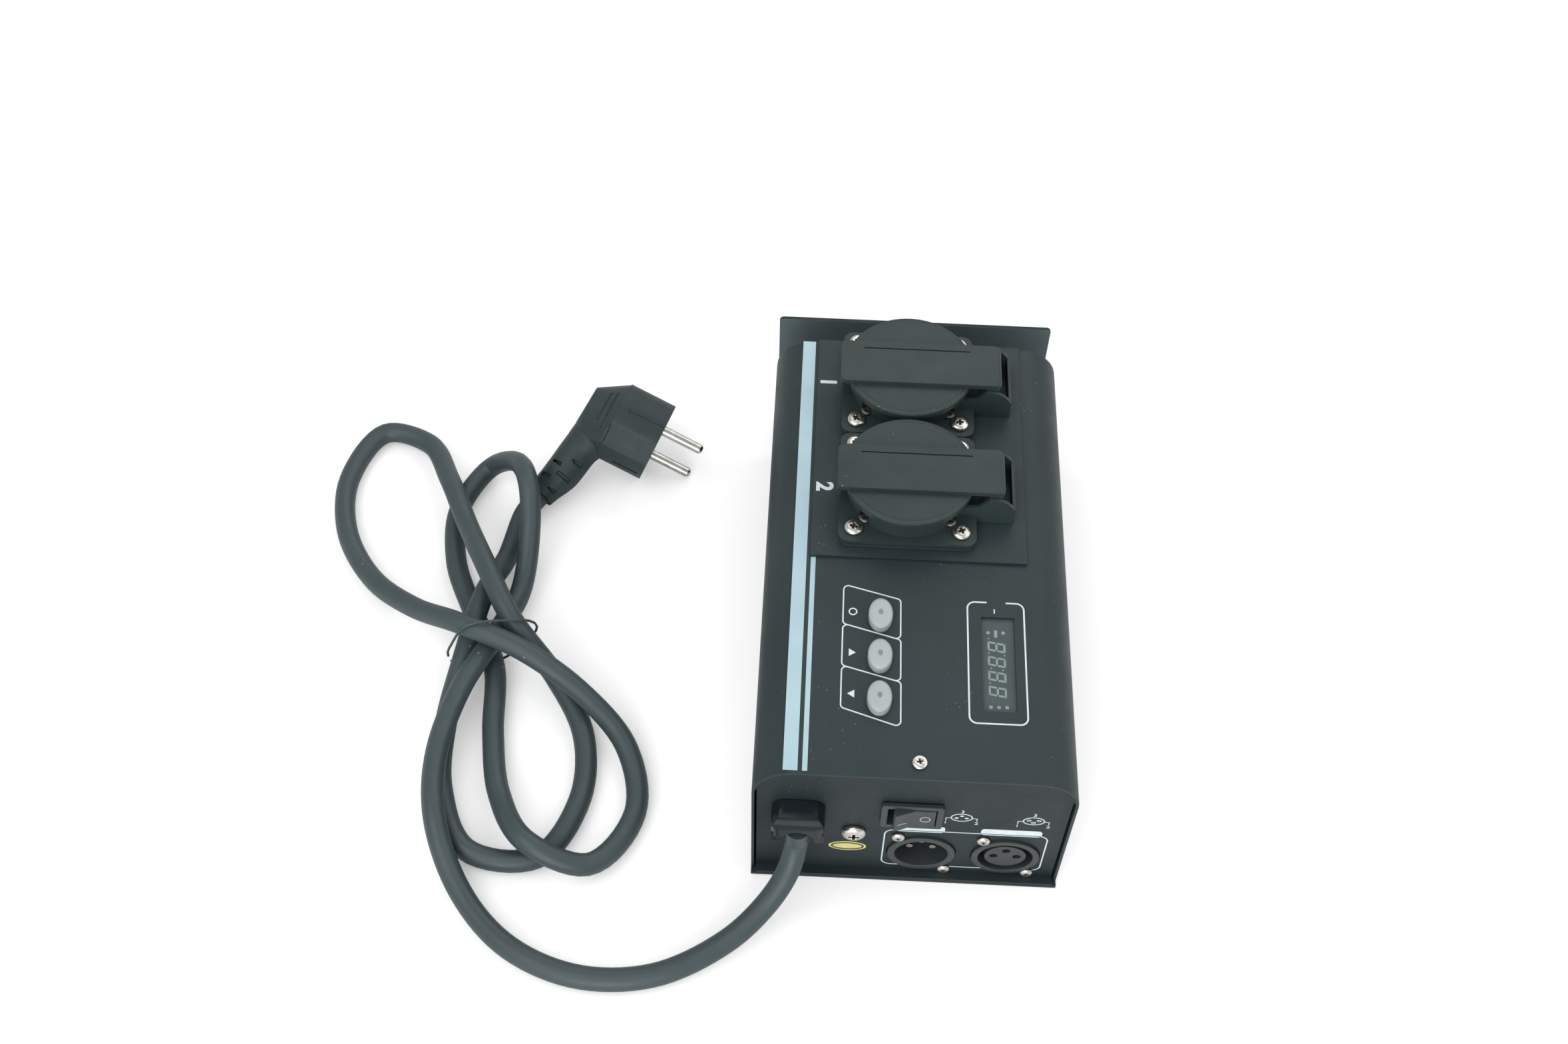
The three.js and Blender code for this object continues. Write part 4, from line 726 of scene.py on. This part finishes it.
# screws: domed heads with a cross recess, one model per size, given as head, rise, thread, length and the
# flat's share of the head
screwSettings = {
    "flange": (6.6, 1.5, 3.2, 10, 0.5), "clamp": (4.2, 1.0, 2, 3.3, 0.5),
    "connector": (4.7, 1.3, 2.6, 6, 0.45), "cover": (5.2, 0.9, 2.8, 6, 0.65),
    "earth": (8.5, 2.4, 3.6, 9, 0.35),
}
recessShares = Sizes(reach=0.58, wide=0.15, deep=0.7, taper=(0.45, 0.7, 1))
rimShare = 0.3
notchSettings = Sizes(count=14, out=1.01, high=0.42, radius=0.32)
screwPlaces = Sizes(
    socketSeat=3.8, cover=(0.5, -99.35, 72.3), earth=(-19, -104.35, 31), connectorsX=(5.1, 34.4),
    connectorsY=-104.35, connectorsZ=17.2, connectorsApart=(8.7, 11.5),
)


def modelScrew(kind, across, rise, thread, length, flat):
    radius, thread = across / 2, thread / 2
    flat *= radius

    def level(upward):  # the dome stands on a low rim
        return rise * (rimShare + (1 - rimShare) * upward)

    dome = []
    for k in range(8):
        angle = math.radians(90 * k / 7)
        dome.append((flat + (radius - flat) * math.cos(angle), level(math.sin(angle))))
    head = spunForm(kind + "_screw", [
        (0, -length), (thread, -length), (thread, 0), (radius * 0.97, 0), (radius, rise * 0.1), *dome,
        (0, rise),
    ])
    reach, thin, deep = [size * recessShares[key] for size, key in (
        (radius, "reach"), (radius, "wide"), (rise, "deep"))]
    for turn in (0, 90):
        blade = slab("screw_blade", -reach, reach, -thin, thin, rise - deep, rise + 1)
        pickFaces(blade, lambda c, n: n.z < -0.9)
        bpy.ops.transform.resize(value=recessShares.taper)
        subtracted(head, moved(closeMesh(blade), (0, 0, 0), (0, 0, turn)))

    def inRecess(c, n):  # its walls and its floor
        away = math.hypot(c.x, c.y)
        skin = level(math.sqrt(max(0, 1 - (max(away - flat, 0) / (radius - flat)) ** 2)))
        return away < reach * 1.08 and 0 < c.z < skin - 0.06 and (n.z < 0.5 or c.z < skin - 0.2)

    # the recess's walls and floor take the dark finish: painted shade
    marked(head, inRecess)
    if kind == "earth":  # notches round its rim
        out, high = radius * notchSettings.out, rise * notchSettings.high
        for angle in around(notchSettings.count):
            at = Vector((out * math.cos(angle), out * math.sin(angle), 0))
            subtracted(head, roundBar("rim_notch", at, at + Vector((0, 0, high)), notchSettings.radius, 10))
    return eased(head, 0.09, 40)


screwModels = {kind: modelScrew(kind, *sizes) for kind, sizes in screwSettings.items()}


def driveScrew(kind, nodeName, place, turn):
    screw = moved(placed(nodeName + "_bright", screwModels[kind].data.copy()), place, turn)
    # the clamp screws take the darker steel: painted shade
    steel = "clampSteel" if kind == "clamp" else "screwSteel"
    finished(screw, steel, "screw_steel", nodeName, second="recessShade")


for row, (x, y, z) in enumerate(socketSettings.rows, 1):
    for kind, count, turnEach, turnRow in (("flange", 4, 37, 20), ("clamp", 2, 50, 30)):
        for k in range(1, count + 1):
            name = f"socket_{row}_{kind}_screw_{k}"
            low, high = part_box(name)
            at = ((low[0] + high[0]) / 2 / mm, (low[1] + high[1]) / 2 / mm, z + screwPlaces.socketSeat)
            driveScrew(kind, name, at, (0, 0, turnEach * k + turnRow * row))
driveScrew("cover", "cover_screw", screwPlaces.cover, (0, 0, 12))
driveScrew("earth", "earth_screw", screwPlaces.earth, (90, 0, 0))
apart, raised = screwPlaces.connectorsApart
for name, x in zip(("input", "output"), screwPlaces.connectorsX):
    for side, k in ((-1, 1), (1, 2)):
        at = (x + side * apart, screwPlaces.connectorsY, screwPlaces.connectorsZ - side * raised)
        driveScrew("connector", f"{name}_screw_{k}", at, (90, 28 * side + 9, 0))
for model in screwModels.values():
    bpy.data.objects.remove(model)
print("dimmer pack: screws driven")

# push buttons: oval caps with a small dimple, given as (from the axis, below the top)
buttonSettings = Sizes(
    rows=(-43.15, -59.65, -76.15), x=-13, radius=4.2, stretch=12 / 8.2, top=75.5,
    skirt=(5, 69.7, 70.7), stem=1.3, crown=(1.3, 1.25, 1.05),
    dimple=((1.3, 0.04), (0.85, 0), (0.62, 0.1), (0.5, 0.4), (0, 0.45)), dimpleShade=(0.74, 0.7),
)


def modelButton(form):
    radius, top = form.radius, form.top
    skirt, low, high = form.skirt
    stem, foot = form.stem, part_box("button_1")[0][2] / mm
    inward, under, rise = form.crown
    crown = []
    for k in range(9):
        angle = math.radians(90 * k / 8)
        crown.append((radius - inward + inward * math.cos(angle), top - under + rise * math.sin(angle)))
    cap = spunForm("button_cap", [
        (0, foot), (stem, foot), (stem, low), (skirt, low), (skirt, high), (radius, high), *crown,
        *((away, top - below) for away, below in form.dimple),
    ], 56)
    near, below = form.dimpleShade
    # the dimple's faces take the darker finish: painted shade
    marked(cap, lambda c, n: math.hypot(c.x, c.y) < near and c.z > top - below)
    cap.scale.y = form.stretch
    return smoothed(settle(cap), 38)


buttonModel = modelButton(buttonSettings)
for k, y in enumerate(buttonSettings.rows, 1):
    cap = moved(placed(f"key_cap_{k}", buttonModel.data.copy()), (buttonSettings.x, y, 0))
    finished(cap, "buttonPlastic", "button_plastic", f"button_{k}", body=f"key_{k}", second="dimpleShade")
bpy.data.objects.remove(buttonModel)
print("dimmer pack: buttons set")

# display: slanted digits that read towards the front, each of seven bars
displaySettings = Sizes(
    back=-41.15, left=21.7, face=70.7, digits=(11.35, 17.25, 23.1, 29.05), across=5.15,
    height=6.1, width=3.0, slant=0.165, bar=0.72, gap=0.12, middleGap=0.05,
    dots=(
        (2.4, 5.6, 1.3), (7.55, 5.5, 1.3), (2.5, 8, 0.6), (2.5, 13.9, 0.6), (7.75, 14.6, 0.6),
        (3.2, 19.85, 0.6), (7.1, 20.5, 0.6), (2.6, 25.7, 0.6), (2.7, 35.1, 1.35),
        (5.4, 35.1, 1.35), (8.1, 35, 1.35),
    ),
    minus=(5.0, 6.0, 1.1, 2.9),
)


def digitBars(form):  # seven bars, as outlines of (across, up) from the digit's middle
    half, tall = form.width / 2, form.height / 2
    bar, gap = form.bar, form.gap
    bars = []
    for level in (-tall, 0, tall):  # three bars across
        if level:
            inner = level + math.copysign(bar, -level)
            wide, narrow = half + bar / 2 - gap, half - bar / 2 - gap
            bars.append([(-wide, level), (wide, level), (narrow, inner), (-narrow, inner)])
        else:
            wide, narrow = half - gap * 2, half - bar * 0.6 - gap
            bars.append([
                (-wide, 0), (-narrow, bar / 2), (narrow, bar / 2), (wide, 0), (narrow, -bar / 2),
                (-narrow, -bar / 2),
            ])
    for side in (-1, 1):
        outer, inner = side * (half + bar / 2), side * (half - bar / 2)
        for end in (-1, 1):  # four bars along
            far, near = end * (tall - gap), end * (gap + form.middleGap)
            taper = near + end * bar * 0.35
            bars.append([
                (outer, far), (inner, far - end * bar), (inner, taper), (side * half, near), (outer, taper),
            ])
    return bars


def layDisplay(form):
    left, back = form.left, form.back
    loops = []
    for middle in form.digits:
        for bar in digitBars(form):
            loops.append([
                (left + form.across + up, back - (middle + across + up * form.slant))
                for across, up in bar
            ])
    for dx, dy, size in form.dots:
        loops.append(ovalLoop(left + dx, back - dy, size, steps=18))
    dx, dy, wide, long = form.minus
    x, y = left + dx, back - dy
    loops.append(square(x - wide / 2, x + wide / 2, y - long / 2, y + long / 2))
    finished(printed("display_bars", loops, (0, 0, form.face)), "displaySegment", "display")


layDisplay(displaySettings)
print("dimmer pack: display lit")

# prints on the top: "front" is where the box's front edge lies, the boxes and the window are measured from it
topPrints = Sizes(
    face=72.02, front=-105.25, stripes=((-44.1, -39.3, 81.9), (-37.8, -36.1, -19.15)),
    stripesFrom=-104.05, boxLeft=-25.9, boxRight=(-6.0, -5.8), leftEnds=(75, 58.8, 42, 25.6),
    rightEnds=(69.6, 53.1, 36.3, 19), line=0.45, radius=1.6, apart=0.015,
    signs=(-22.5, (-41.4, -58, -74.2)), signRing=2.6, signTip=1.3, signBack=(1.1, 1.5),
    window=(17.0, 36.5, 21.9, 70.05), windowRadius=2.6, windowLine=0.55, gap=(23.7, 30.3),
    tick=(26.1, 26.5, 65.6, 67.4),
    labels=Sizes(x=-34.2, z=73.22, height=6, bold=0.05, rows=((1, 60.9), (2, 11.3))),
)


def printTop(form):
    front, line = form.front, form.line
    at = (0, 0, form.face)
    loops = [square(x0, x1, form.stripesFrom, back) for x0, x1, back in form.stripes]
    finished(printed("top_stripes", loops, at), "stripePaint", "case_paint")
    left, (r0, r1) = form.boxLeft, form.boxRight
    marks = []
    for k in range(3):
        right = r0 + (r1 - r0) * k / 2
        (hi, lo), (rightHi, rightLo) = form.leftEnds[k:k + 2], form.rightEnds[k:k + 2]
        corners = [(left, front + lo), (right, front + rightLo), (right, front + rightHi), (left, front + hi)]
        outline = stroked(cornered(corners, form.radius), line)
        marks.append(printed(f"button_box_{k}", outline, (0, 0, form.face + k * form.apart)))
    # plain signs beside the buttons: a ring, up and down
    x, rows = form.signs
    tip, (back, half) = form.signTip, form.signBack
    signs = [stroked(ovalLoop(x, rows[0], form.signRing, steps=24), line)]
    for y, way in zip(rows[1:], (1, -1)):
        signs.append([[(x + way * tip, y), (x - way * back, y + half), (x - way * back, y - half)]])
    marks += [printed(f"button_sign_{k}", sign, at) for k, sign in enumerate(signs)]
    # the window's line starts and ends at the gap in its back side
    x0, x1, y0, y1 = form.window
    ring = cornered(square(x0, x1, front + y0, front + y1), form.windowRadius)
    g0, g1 = form.gap
    turnAt = len(ring) * 3 // 4
    path = [(g0, front + y1)] + ring[turnAt:] + ring[:turnAt] + [(g1, front + y1)]
    marks.append(printed("window_line", stroked(path, form.windowLine, closed=False), at))
    x0, x1, y0, y1 = form.tick
    marks.append(printed("window_tick", [square(x0, x1, front + y0, front + y1)], at))
    finished(joined(*marks), "whitePrint", "case_paint")
    names = form.labels
    labels = [
        numeral(f"channel_{digit}", str(digit), names.height, (names.x, y, names.z), (0, 0, -90),
                names.bold)
        for digit, y in names.rows
    ]
    finished(joined(*labels), "whitePrint", "case_paint")


printTop(topPrints)
print("dimmer pack: top printed")

# prints on the front panel, drawn in X and Z
panelPrints = Sizes(
    face=-104.07, frame=(-8.3, 47.5, 6.5, 33), radius=3.4, line=0.45,
    tabs=((-4.5, 12, 32.2, 36.6), (24.3, 45.1, 32.2, 36.6)), tabRadius=1.4,
    icons=((16.8, 44.2), (41.1, 44.0)), iconSize=(7.1, 5.1), iconLine=0.4,
    dots=((-1.7, -0.4), (1.7, -0.4), (0, 1.1)), dotSize=(1.35, 0.95), dotLine=0.3,
    lead=(1.7, -0.4, -2.2), leadLine=0.35, digit=1.9, digitDrop=3.9, digitRise=1.6,
    sticker=(-20.7, 19.2, 13.1, 6.6), stickerFace=(-104.09, 0.1), ringInset=(2.2, 1.9),
    ringLine=0.7, ringFace=-104.17,
)


def printPanel(form):
    face, up = (0, form.face, 0), (90, 0, 0)
    frameLine = stroked(cornered(square(*form.frame), form.radius), form.line)
    parts = [printed("panel_frame", frameLine, face, up)]

    def put(name, loops):
        parts.append(printed(name, loops, face, up))

    for k, tab in enumerate(form.tabs):
        put(f"panel_tab_{k}", [cornered(square(*tab), form.tabRadius)])
    wide, tall = form.iconSize
    out, level, drop = form.lead
    for k, (x, z) in enumerate(form.icons):  # the second has open dots, turned over
        put(f"icon_ring_{k}", stroked(ovalLoop(x, z, wide, tall), form.iconLine))
        for dx, dz in form.dots:
            dot = ovalLoop(x + dx, z + (dz if not k else -dz), *form.dotSize, steps=16)
            put(f"icon_dot_{k}", stroked(dot, form.dotLine) if k else [dot])
        for side in (-1, 1):
            near, far = x + side * wide / 2, x + side * (wide / 2 + out)
            lead = [(near, z + level), (far, z + level), (far, z + drop)]
            put(f"icon_lead_{k}", stroked(lead, form.leadLine, closed=False))
            at = (far, face[1], z - form.digitDrop)
            parts.append(numeral(f"icon_number_{k}", "12"[side > 0], form.digit, at, up))
        at = (x, face[1], z + tall / 2 + form.digitRise)
        parts.append(numeral(f"icon_number_{k}", "3", form.digit, at, up))
    finished(joined(*parts), "whitePrint", "case_paint")
    x, z, wide, tall = form.sticker
    y, thick = form.stickerFace
    sticker = printed("oval_sticker", [ovalLoop(x, z, wide, tall, steps=48)], (0, y, 0), up, thick)
    finished(sticker, "stickerYellow", "case_paint")
    across, along = form.ringInset
    ring = stroked(ovalLoop(x, z, wide - across, tall - along, steps=48), form.ringLine)
    finished(printed("sticker_ring", ring, (0, form.ringFace, 0), up), "stickerInk", "case_paint")


printPanel(panelPrints)
print("dimmer pack: panel printed")

# rocker switch and connectors, with a bar on the rocker's raised half and a ring on the other
frontSettings = {
    "rocker_body": 0.35, "rocker": 0.3, "input_shell": 0.3, "output_shell": 0.3, "output_insert": 0.15,
    "input_insert": 0.15,
}
rockerMarks = Sizes(
    bar=(1.7, 0.17), barAt=(-3.4, -107.85, 44.8), barTurn=19, ring=3.3, ringAt=(4.3, -106.36, 46),
    ringTurn=1, line=0.36, thick=0.1,
)
for name, width in frontSettings.items():
    dressed(name, width, "rocker" if name == "rocker" else "casing")


def markRocker(form):
    long, thin = form.bar
    bar = printed(
        "rocker_bar", [square(-long, long, -thin, thin)], form.barAt, (90, 0, form.barTurn),
        form.thick,
    )
    ring = printed(
        "rocker_ring", stroked(ovalLoop(0, 0, form.ring, steps=40), form.line), form.ringAt,
        (90, 0, form.ringTurn), form.thick,
    )
    finished(joined(bar, ring), "dullPrint", "panel_plastic", body="rocker")


markRocker(rockerMarks)
print("dimmer pack: front panel fitted")

# cord gland: a rounded cap with a full nose, standing on two legs beside the cord
glandSettings = Sizes(
    x=-38.3, face=-104.35, cap=(9.1, 9, 41.6, 52), capRounds=(5.2, 3, 1.6), noseReach=3.2,
    leg=(8.8, 8.3, 36.5, 43), legRound=1.6, mouth=5.5, mouthZ=40.2, mouthReach=14,
    neck=(6.1, 9.4), neckZ=44.5, edge=0.3,
)


def modelGland(form):
    x, face, mouth, edge = [form[key] for key in ("x", "face", "mouth", "edge")]
    half, reach, low, high = form.cap
    nose = face - reach + form.noseReach
    cap = slab("gland_cap", x - half, x + half, face - reach, face, low, high)
    for wide, wanted in zip(form.capRounds, (
        lambda a, b: min(a.z, b.z) > high - 0.1 and min(a.y, b.y) < face - 0.1,
        lambda a, b: max(a.y, b.y) < face - 1 and abs(a.x - b.x) < 0.1 and abs(a.z - b.z) > 1,
        lambda a, b: max(a.z, b.z) < low + 0.1 and max(a.y, b.y) < nose,
    )):
        pickEdges(cap, wanted)
        bpy.ops.mesh.bevel(offset=wide * mm, segments=8, affect="EDGES", clamp_overlap=True)
        closeMesh(cap)
    half, reach, foot, high = form.leg
    parts = [cap]
    for side in (-1, 1):
        inner, outer = x + side * mouth, x + side * half
        leg = slab("gland_leg", min(inner, outer), max(inner, outer), face - reach, face, foot, high)
        pickEdges(leg, lambda a, b: max(a.z, b.z) < foot + 0.1)
        bpy.ops.mesh.bevel(offset=form.legRound * mm, segments=6, affect="EDGES")
        parts.append(closeMesh(leg))
    level = form.mouthZ
    for part in parts:
        far = face - form.mouthReach
        throat = roundBar("gland_throat", (x, face + 1, level), (x, far, level), mouth, 48)
        eased(subtracted(part, throat), edge, 40)
    wide, far = form.neck
    level = form.neckZ
    neck = roundBar("gland_neck", (x, face - 0.1, level), (x, face + far, level), wide)
    parts.append(eased(neck, edge, 40))
    for part in parts[1:]:
        for side in part.data.polygons:
            side.material_index = 1
    finished(joined(*parts), "glandPlastic", "panel_plastic", "cord_gland", second="socketPlastic")


modelGland(glandSettings)
print("dimmer pack: gland fitted")

# plug: a drum with guide grooves and contact slots, a roofed back and a slotted tail; the tail's and the
# back's places are shares of the drum's radius
plugForm = Sizes(
    tail=(
        (-1.15, -0.1, 0.0), (-1.4, -0.4, -0.16), (-1.5, -0.58, -0.3), (-1.62, -0.88, -0.53),
        (-1.75, -1.49, -0.9), (-1.91, -1.89, -1.15), (-1.98, -2.14, -1.24),
    ),
    tailRadii=(9.2, 9.2, 8.9, 7.75, 7.5, 6.35, 5.7), tailSteps=36, root=9.1,
    back=(-1.93, 0.05, 0.02), backSize=(0.44, 0.58), rim=(0.3, 0.99),
    grooves=(((-15.9, -3.1, 16.3), (1, -2.7, 16.4), 0.75), ((-12.6, -16, -2.6), (-2.1, -16, -2.2), 1.0)),
    flat=(-25, 15.7, 55), flatSize=(9, 5), pin=(4, 17.5, 19), pinSunk=5.5,
    line=0.42, lines=(
        ((-25.2, 2.3, 13.2), (-25.25, -1.4, 13.2), (-25.3, -4.4, 12.2), (-25.4, -6.9, 10.6),
         (-25.5, -9.1, 8.6)),
        ((-22.8, 3, 14.4), (-22.8, -1.7, 14.5), (-22.85, -5.5, 13.3), (-22.9, -8.7, 11.2), (-23, -11.5, 8.7)),
    ),
    slit=0.95, slits=(
        ((-35, -22.3, -12.6), (-33.3, -24.3, -9.3), (-30.7, -25.6, -7.2)),
        ((-28.9, -21.9, -5.9), (-25.9, -22.7, -5.6), (-23, -22.7, -6.9)),
        ((-36, -29.4, -13.7), (-34.1, -30.4, -11.9), (-32.3, -30.9, -11.1)),
        ((-30.5, -28.7, -8.9), (-27.6, -29.3, -9.1), (-24.8, -29.2, -10.7)),
        ((-33.4, -33, -14.4), (-30.7, -33.8, -14.2), (-28, -34.4, -14.8)),
    ),
)


def scored(piece, path, radius, turned=Matrix.Identity(4)):  # a round groove along the path
    points = [turned @ Vector(at) for at in path]
    for a, b in zip(points, points[1:]):
        reach = (b - a).normalized() * radius * 0.3
        subtracted(piece, roundBar("score", a - reach, b + reach, radius, 14))


def flattened(piece, form):  # the flat on the drum's side runs on over the back
    reach, level, lean = form.flat
    wide, high = form.flatSize
    side = slab("side_flat", reach, 1, -wide, wide, level, level + high)
    return subtracted(piece, moved(side, (0, 0, 0), (lean, 0, 0)))


def modelBack(form, radius, drumLength):  # the hull of the drum's rim, an oval and the tail's root
    bx, by, bz = [v * radius for v in form.back]
    across, tall = [v * radius for v in form.backSize]
    inset, share = form.rim
    points = [
        (-drumLength + inset, radius * share * math.cos(a), radius * share * math.sin(a)) for a in around(64)
    ]
    points += [(bx, by + across * math.cos(a), bz + tall * math.sin(a)) for a in around(28)]
    before, root, after = [Vector(at) for at in form.tail[1:4]]
    along = (after - before).normalized()
    side = along.orthogonal().normalized()
    rise = along.cross(side)
    wide = form.root
    points += [root * radius + side * wide * math.cos(a) + rise * wide * math.sin(a) for a in around(28)]
    clearSelection()
    bpy.ops.mesh.primitive_plane_add(size=0.001)
    back = added("plug_back")
    shape = openMesh(back, "VERT")
    bmesh.ops.delete(shape, geom=shape.verts[:], context="VERTS")
    for point in points:
        shape.verts.new(Vector(point) * mm)
    bmesh.update_edit_mesh(back.data)
    bpy.ops.mesh.select_all(action="SELECT")
    bpy.ops.mesh.convex_hull()
    flattened(closeMesh(back, mend=True), form)
    for path in form.lines:
        scored(back, path, form.line)
    for path in form.slits[:2]:
        scored(back, path, form.slit)
    return eased(back, 0.6, 24, 3)


def modelTail(form, radius, turned):  # swept along its stations
    steps = form.tailSteps
    line = smoothLine([turned @ (Vector(at) * radius) for at in form.tail], steps)
    widths = smoothLine([(r, 0, 0) for r in form.tailRadii], steps)
    tail = roundedWire(drawn("plug_tail", [line]), 1, 10)
    for point, wide in zip(tail.data.splines[0].points, widths):
        point.radius = wide.x
    openMesh(meshed(tail))
    closeMesh(tail, mend=True)
    for path in form.slits:
        scored(tail, path, form.slit, turned)
    return smoothed(tail, 40)


def modelPlug(form, place):
    radius, drumLength = place.radius, place.drum
    turned = plugFrame()
    turn = turned.to_3x3().to_4x4()
    drum = roundBar("plug_drum", (0, 0, 0), (-drumLength, 0, 0), radius, 96)
    for side in (1, -1):
        for start, stop, wide in form.grooves:
            scored(drum, [(x, y * side, z * side) for x, y, z in (start, stop)], wide)
    eased(flattened(drum, form), 0.3, 40)
    body = joined(drum, modelBack(form, radius, drumLength))
    body.matrix_world = Matrix.Translation(turned.translation * mm) @ turn
    body = joined(settle(body), modelTail(form, radius, turned))
    pieces = [finished(body, "plugPlastic", "cord_rubber", "plug_body")]
    across, long, spacing = form.pin
    r, sunk = across / 2, form.pinSunk
    for k, side in enumerate((-1, 1), 1):
        pin = spunForm(f"plug_prong_{k}", [
            (0, -sunk), (r, -sunk), (r, long - 1.1), (r * 0.62, long - 0.1), (r * 0.5, long), (0, long),
        ], 40)
        foot = turned @ Vector((0, 0, side * spacing / 2)) * mm
        pin.matrix_world = Matrix.Translation(foot) @ turn @ Matrix.Rotation(math.pi / 2, 4, "Y")
        smoothed(settle(pin), 30)
        pieces.append(finished(pin, "pinNickel", "contact_metal", f"plug_pin_{k}"))
    return pieces


plugPieces = modelPlug(plugForm, plugSettings)
print("dimmer pack: plug moulded")

# everything else keeps its CAD form and takes its finish from its slot
for name, slot in slots.items():
    made = nodes.get(name)
    if made and not made.hide_render:
        made.data.materials.clear()
        made.data.materials.append(finishes[slotFinishes[slot]])

print("dimmer pack: done")
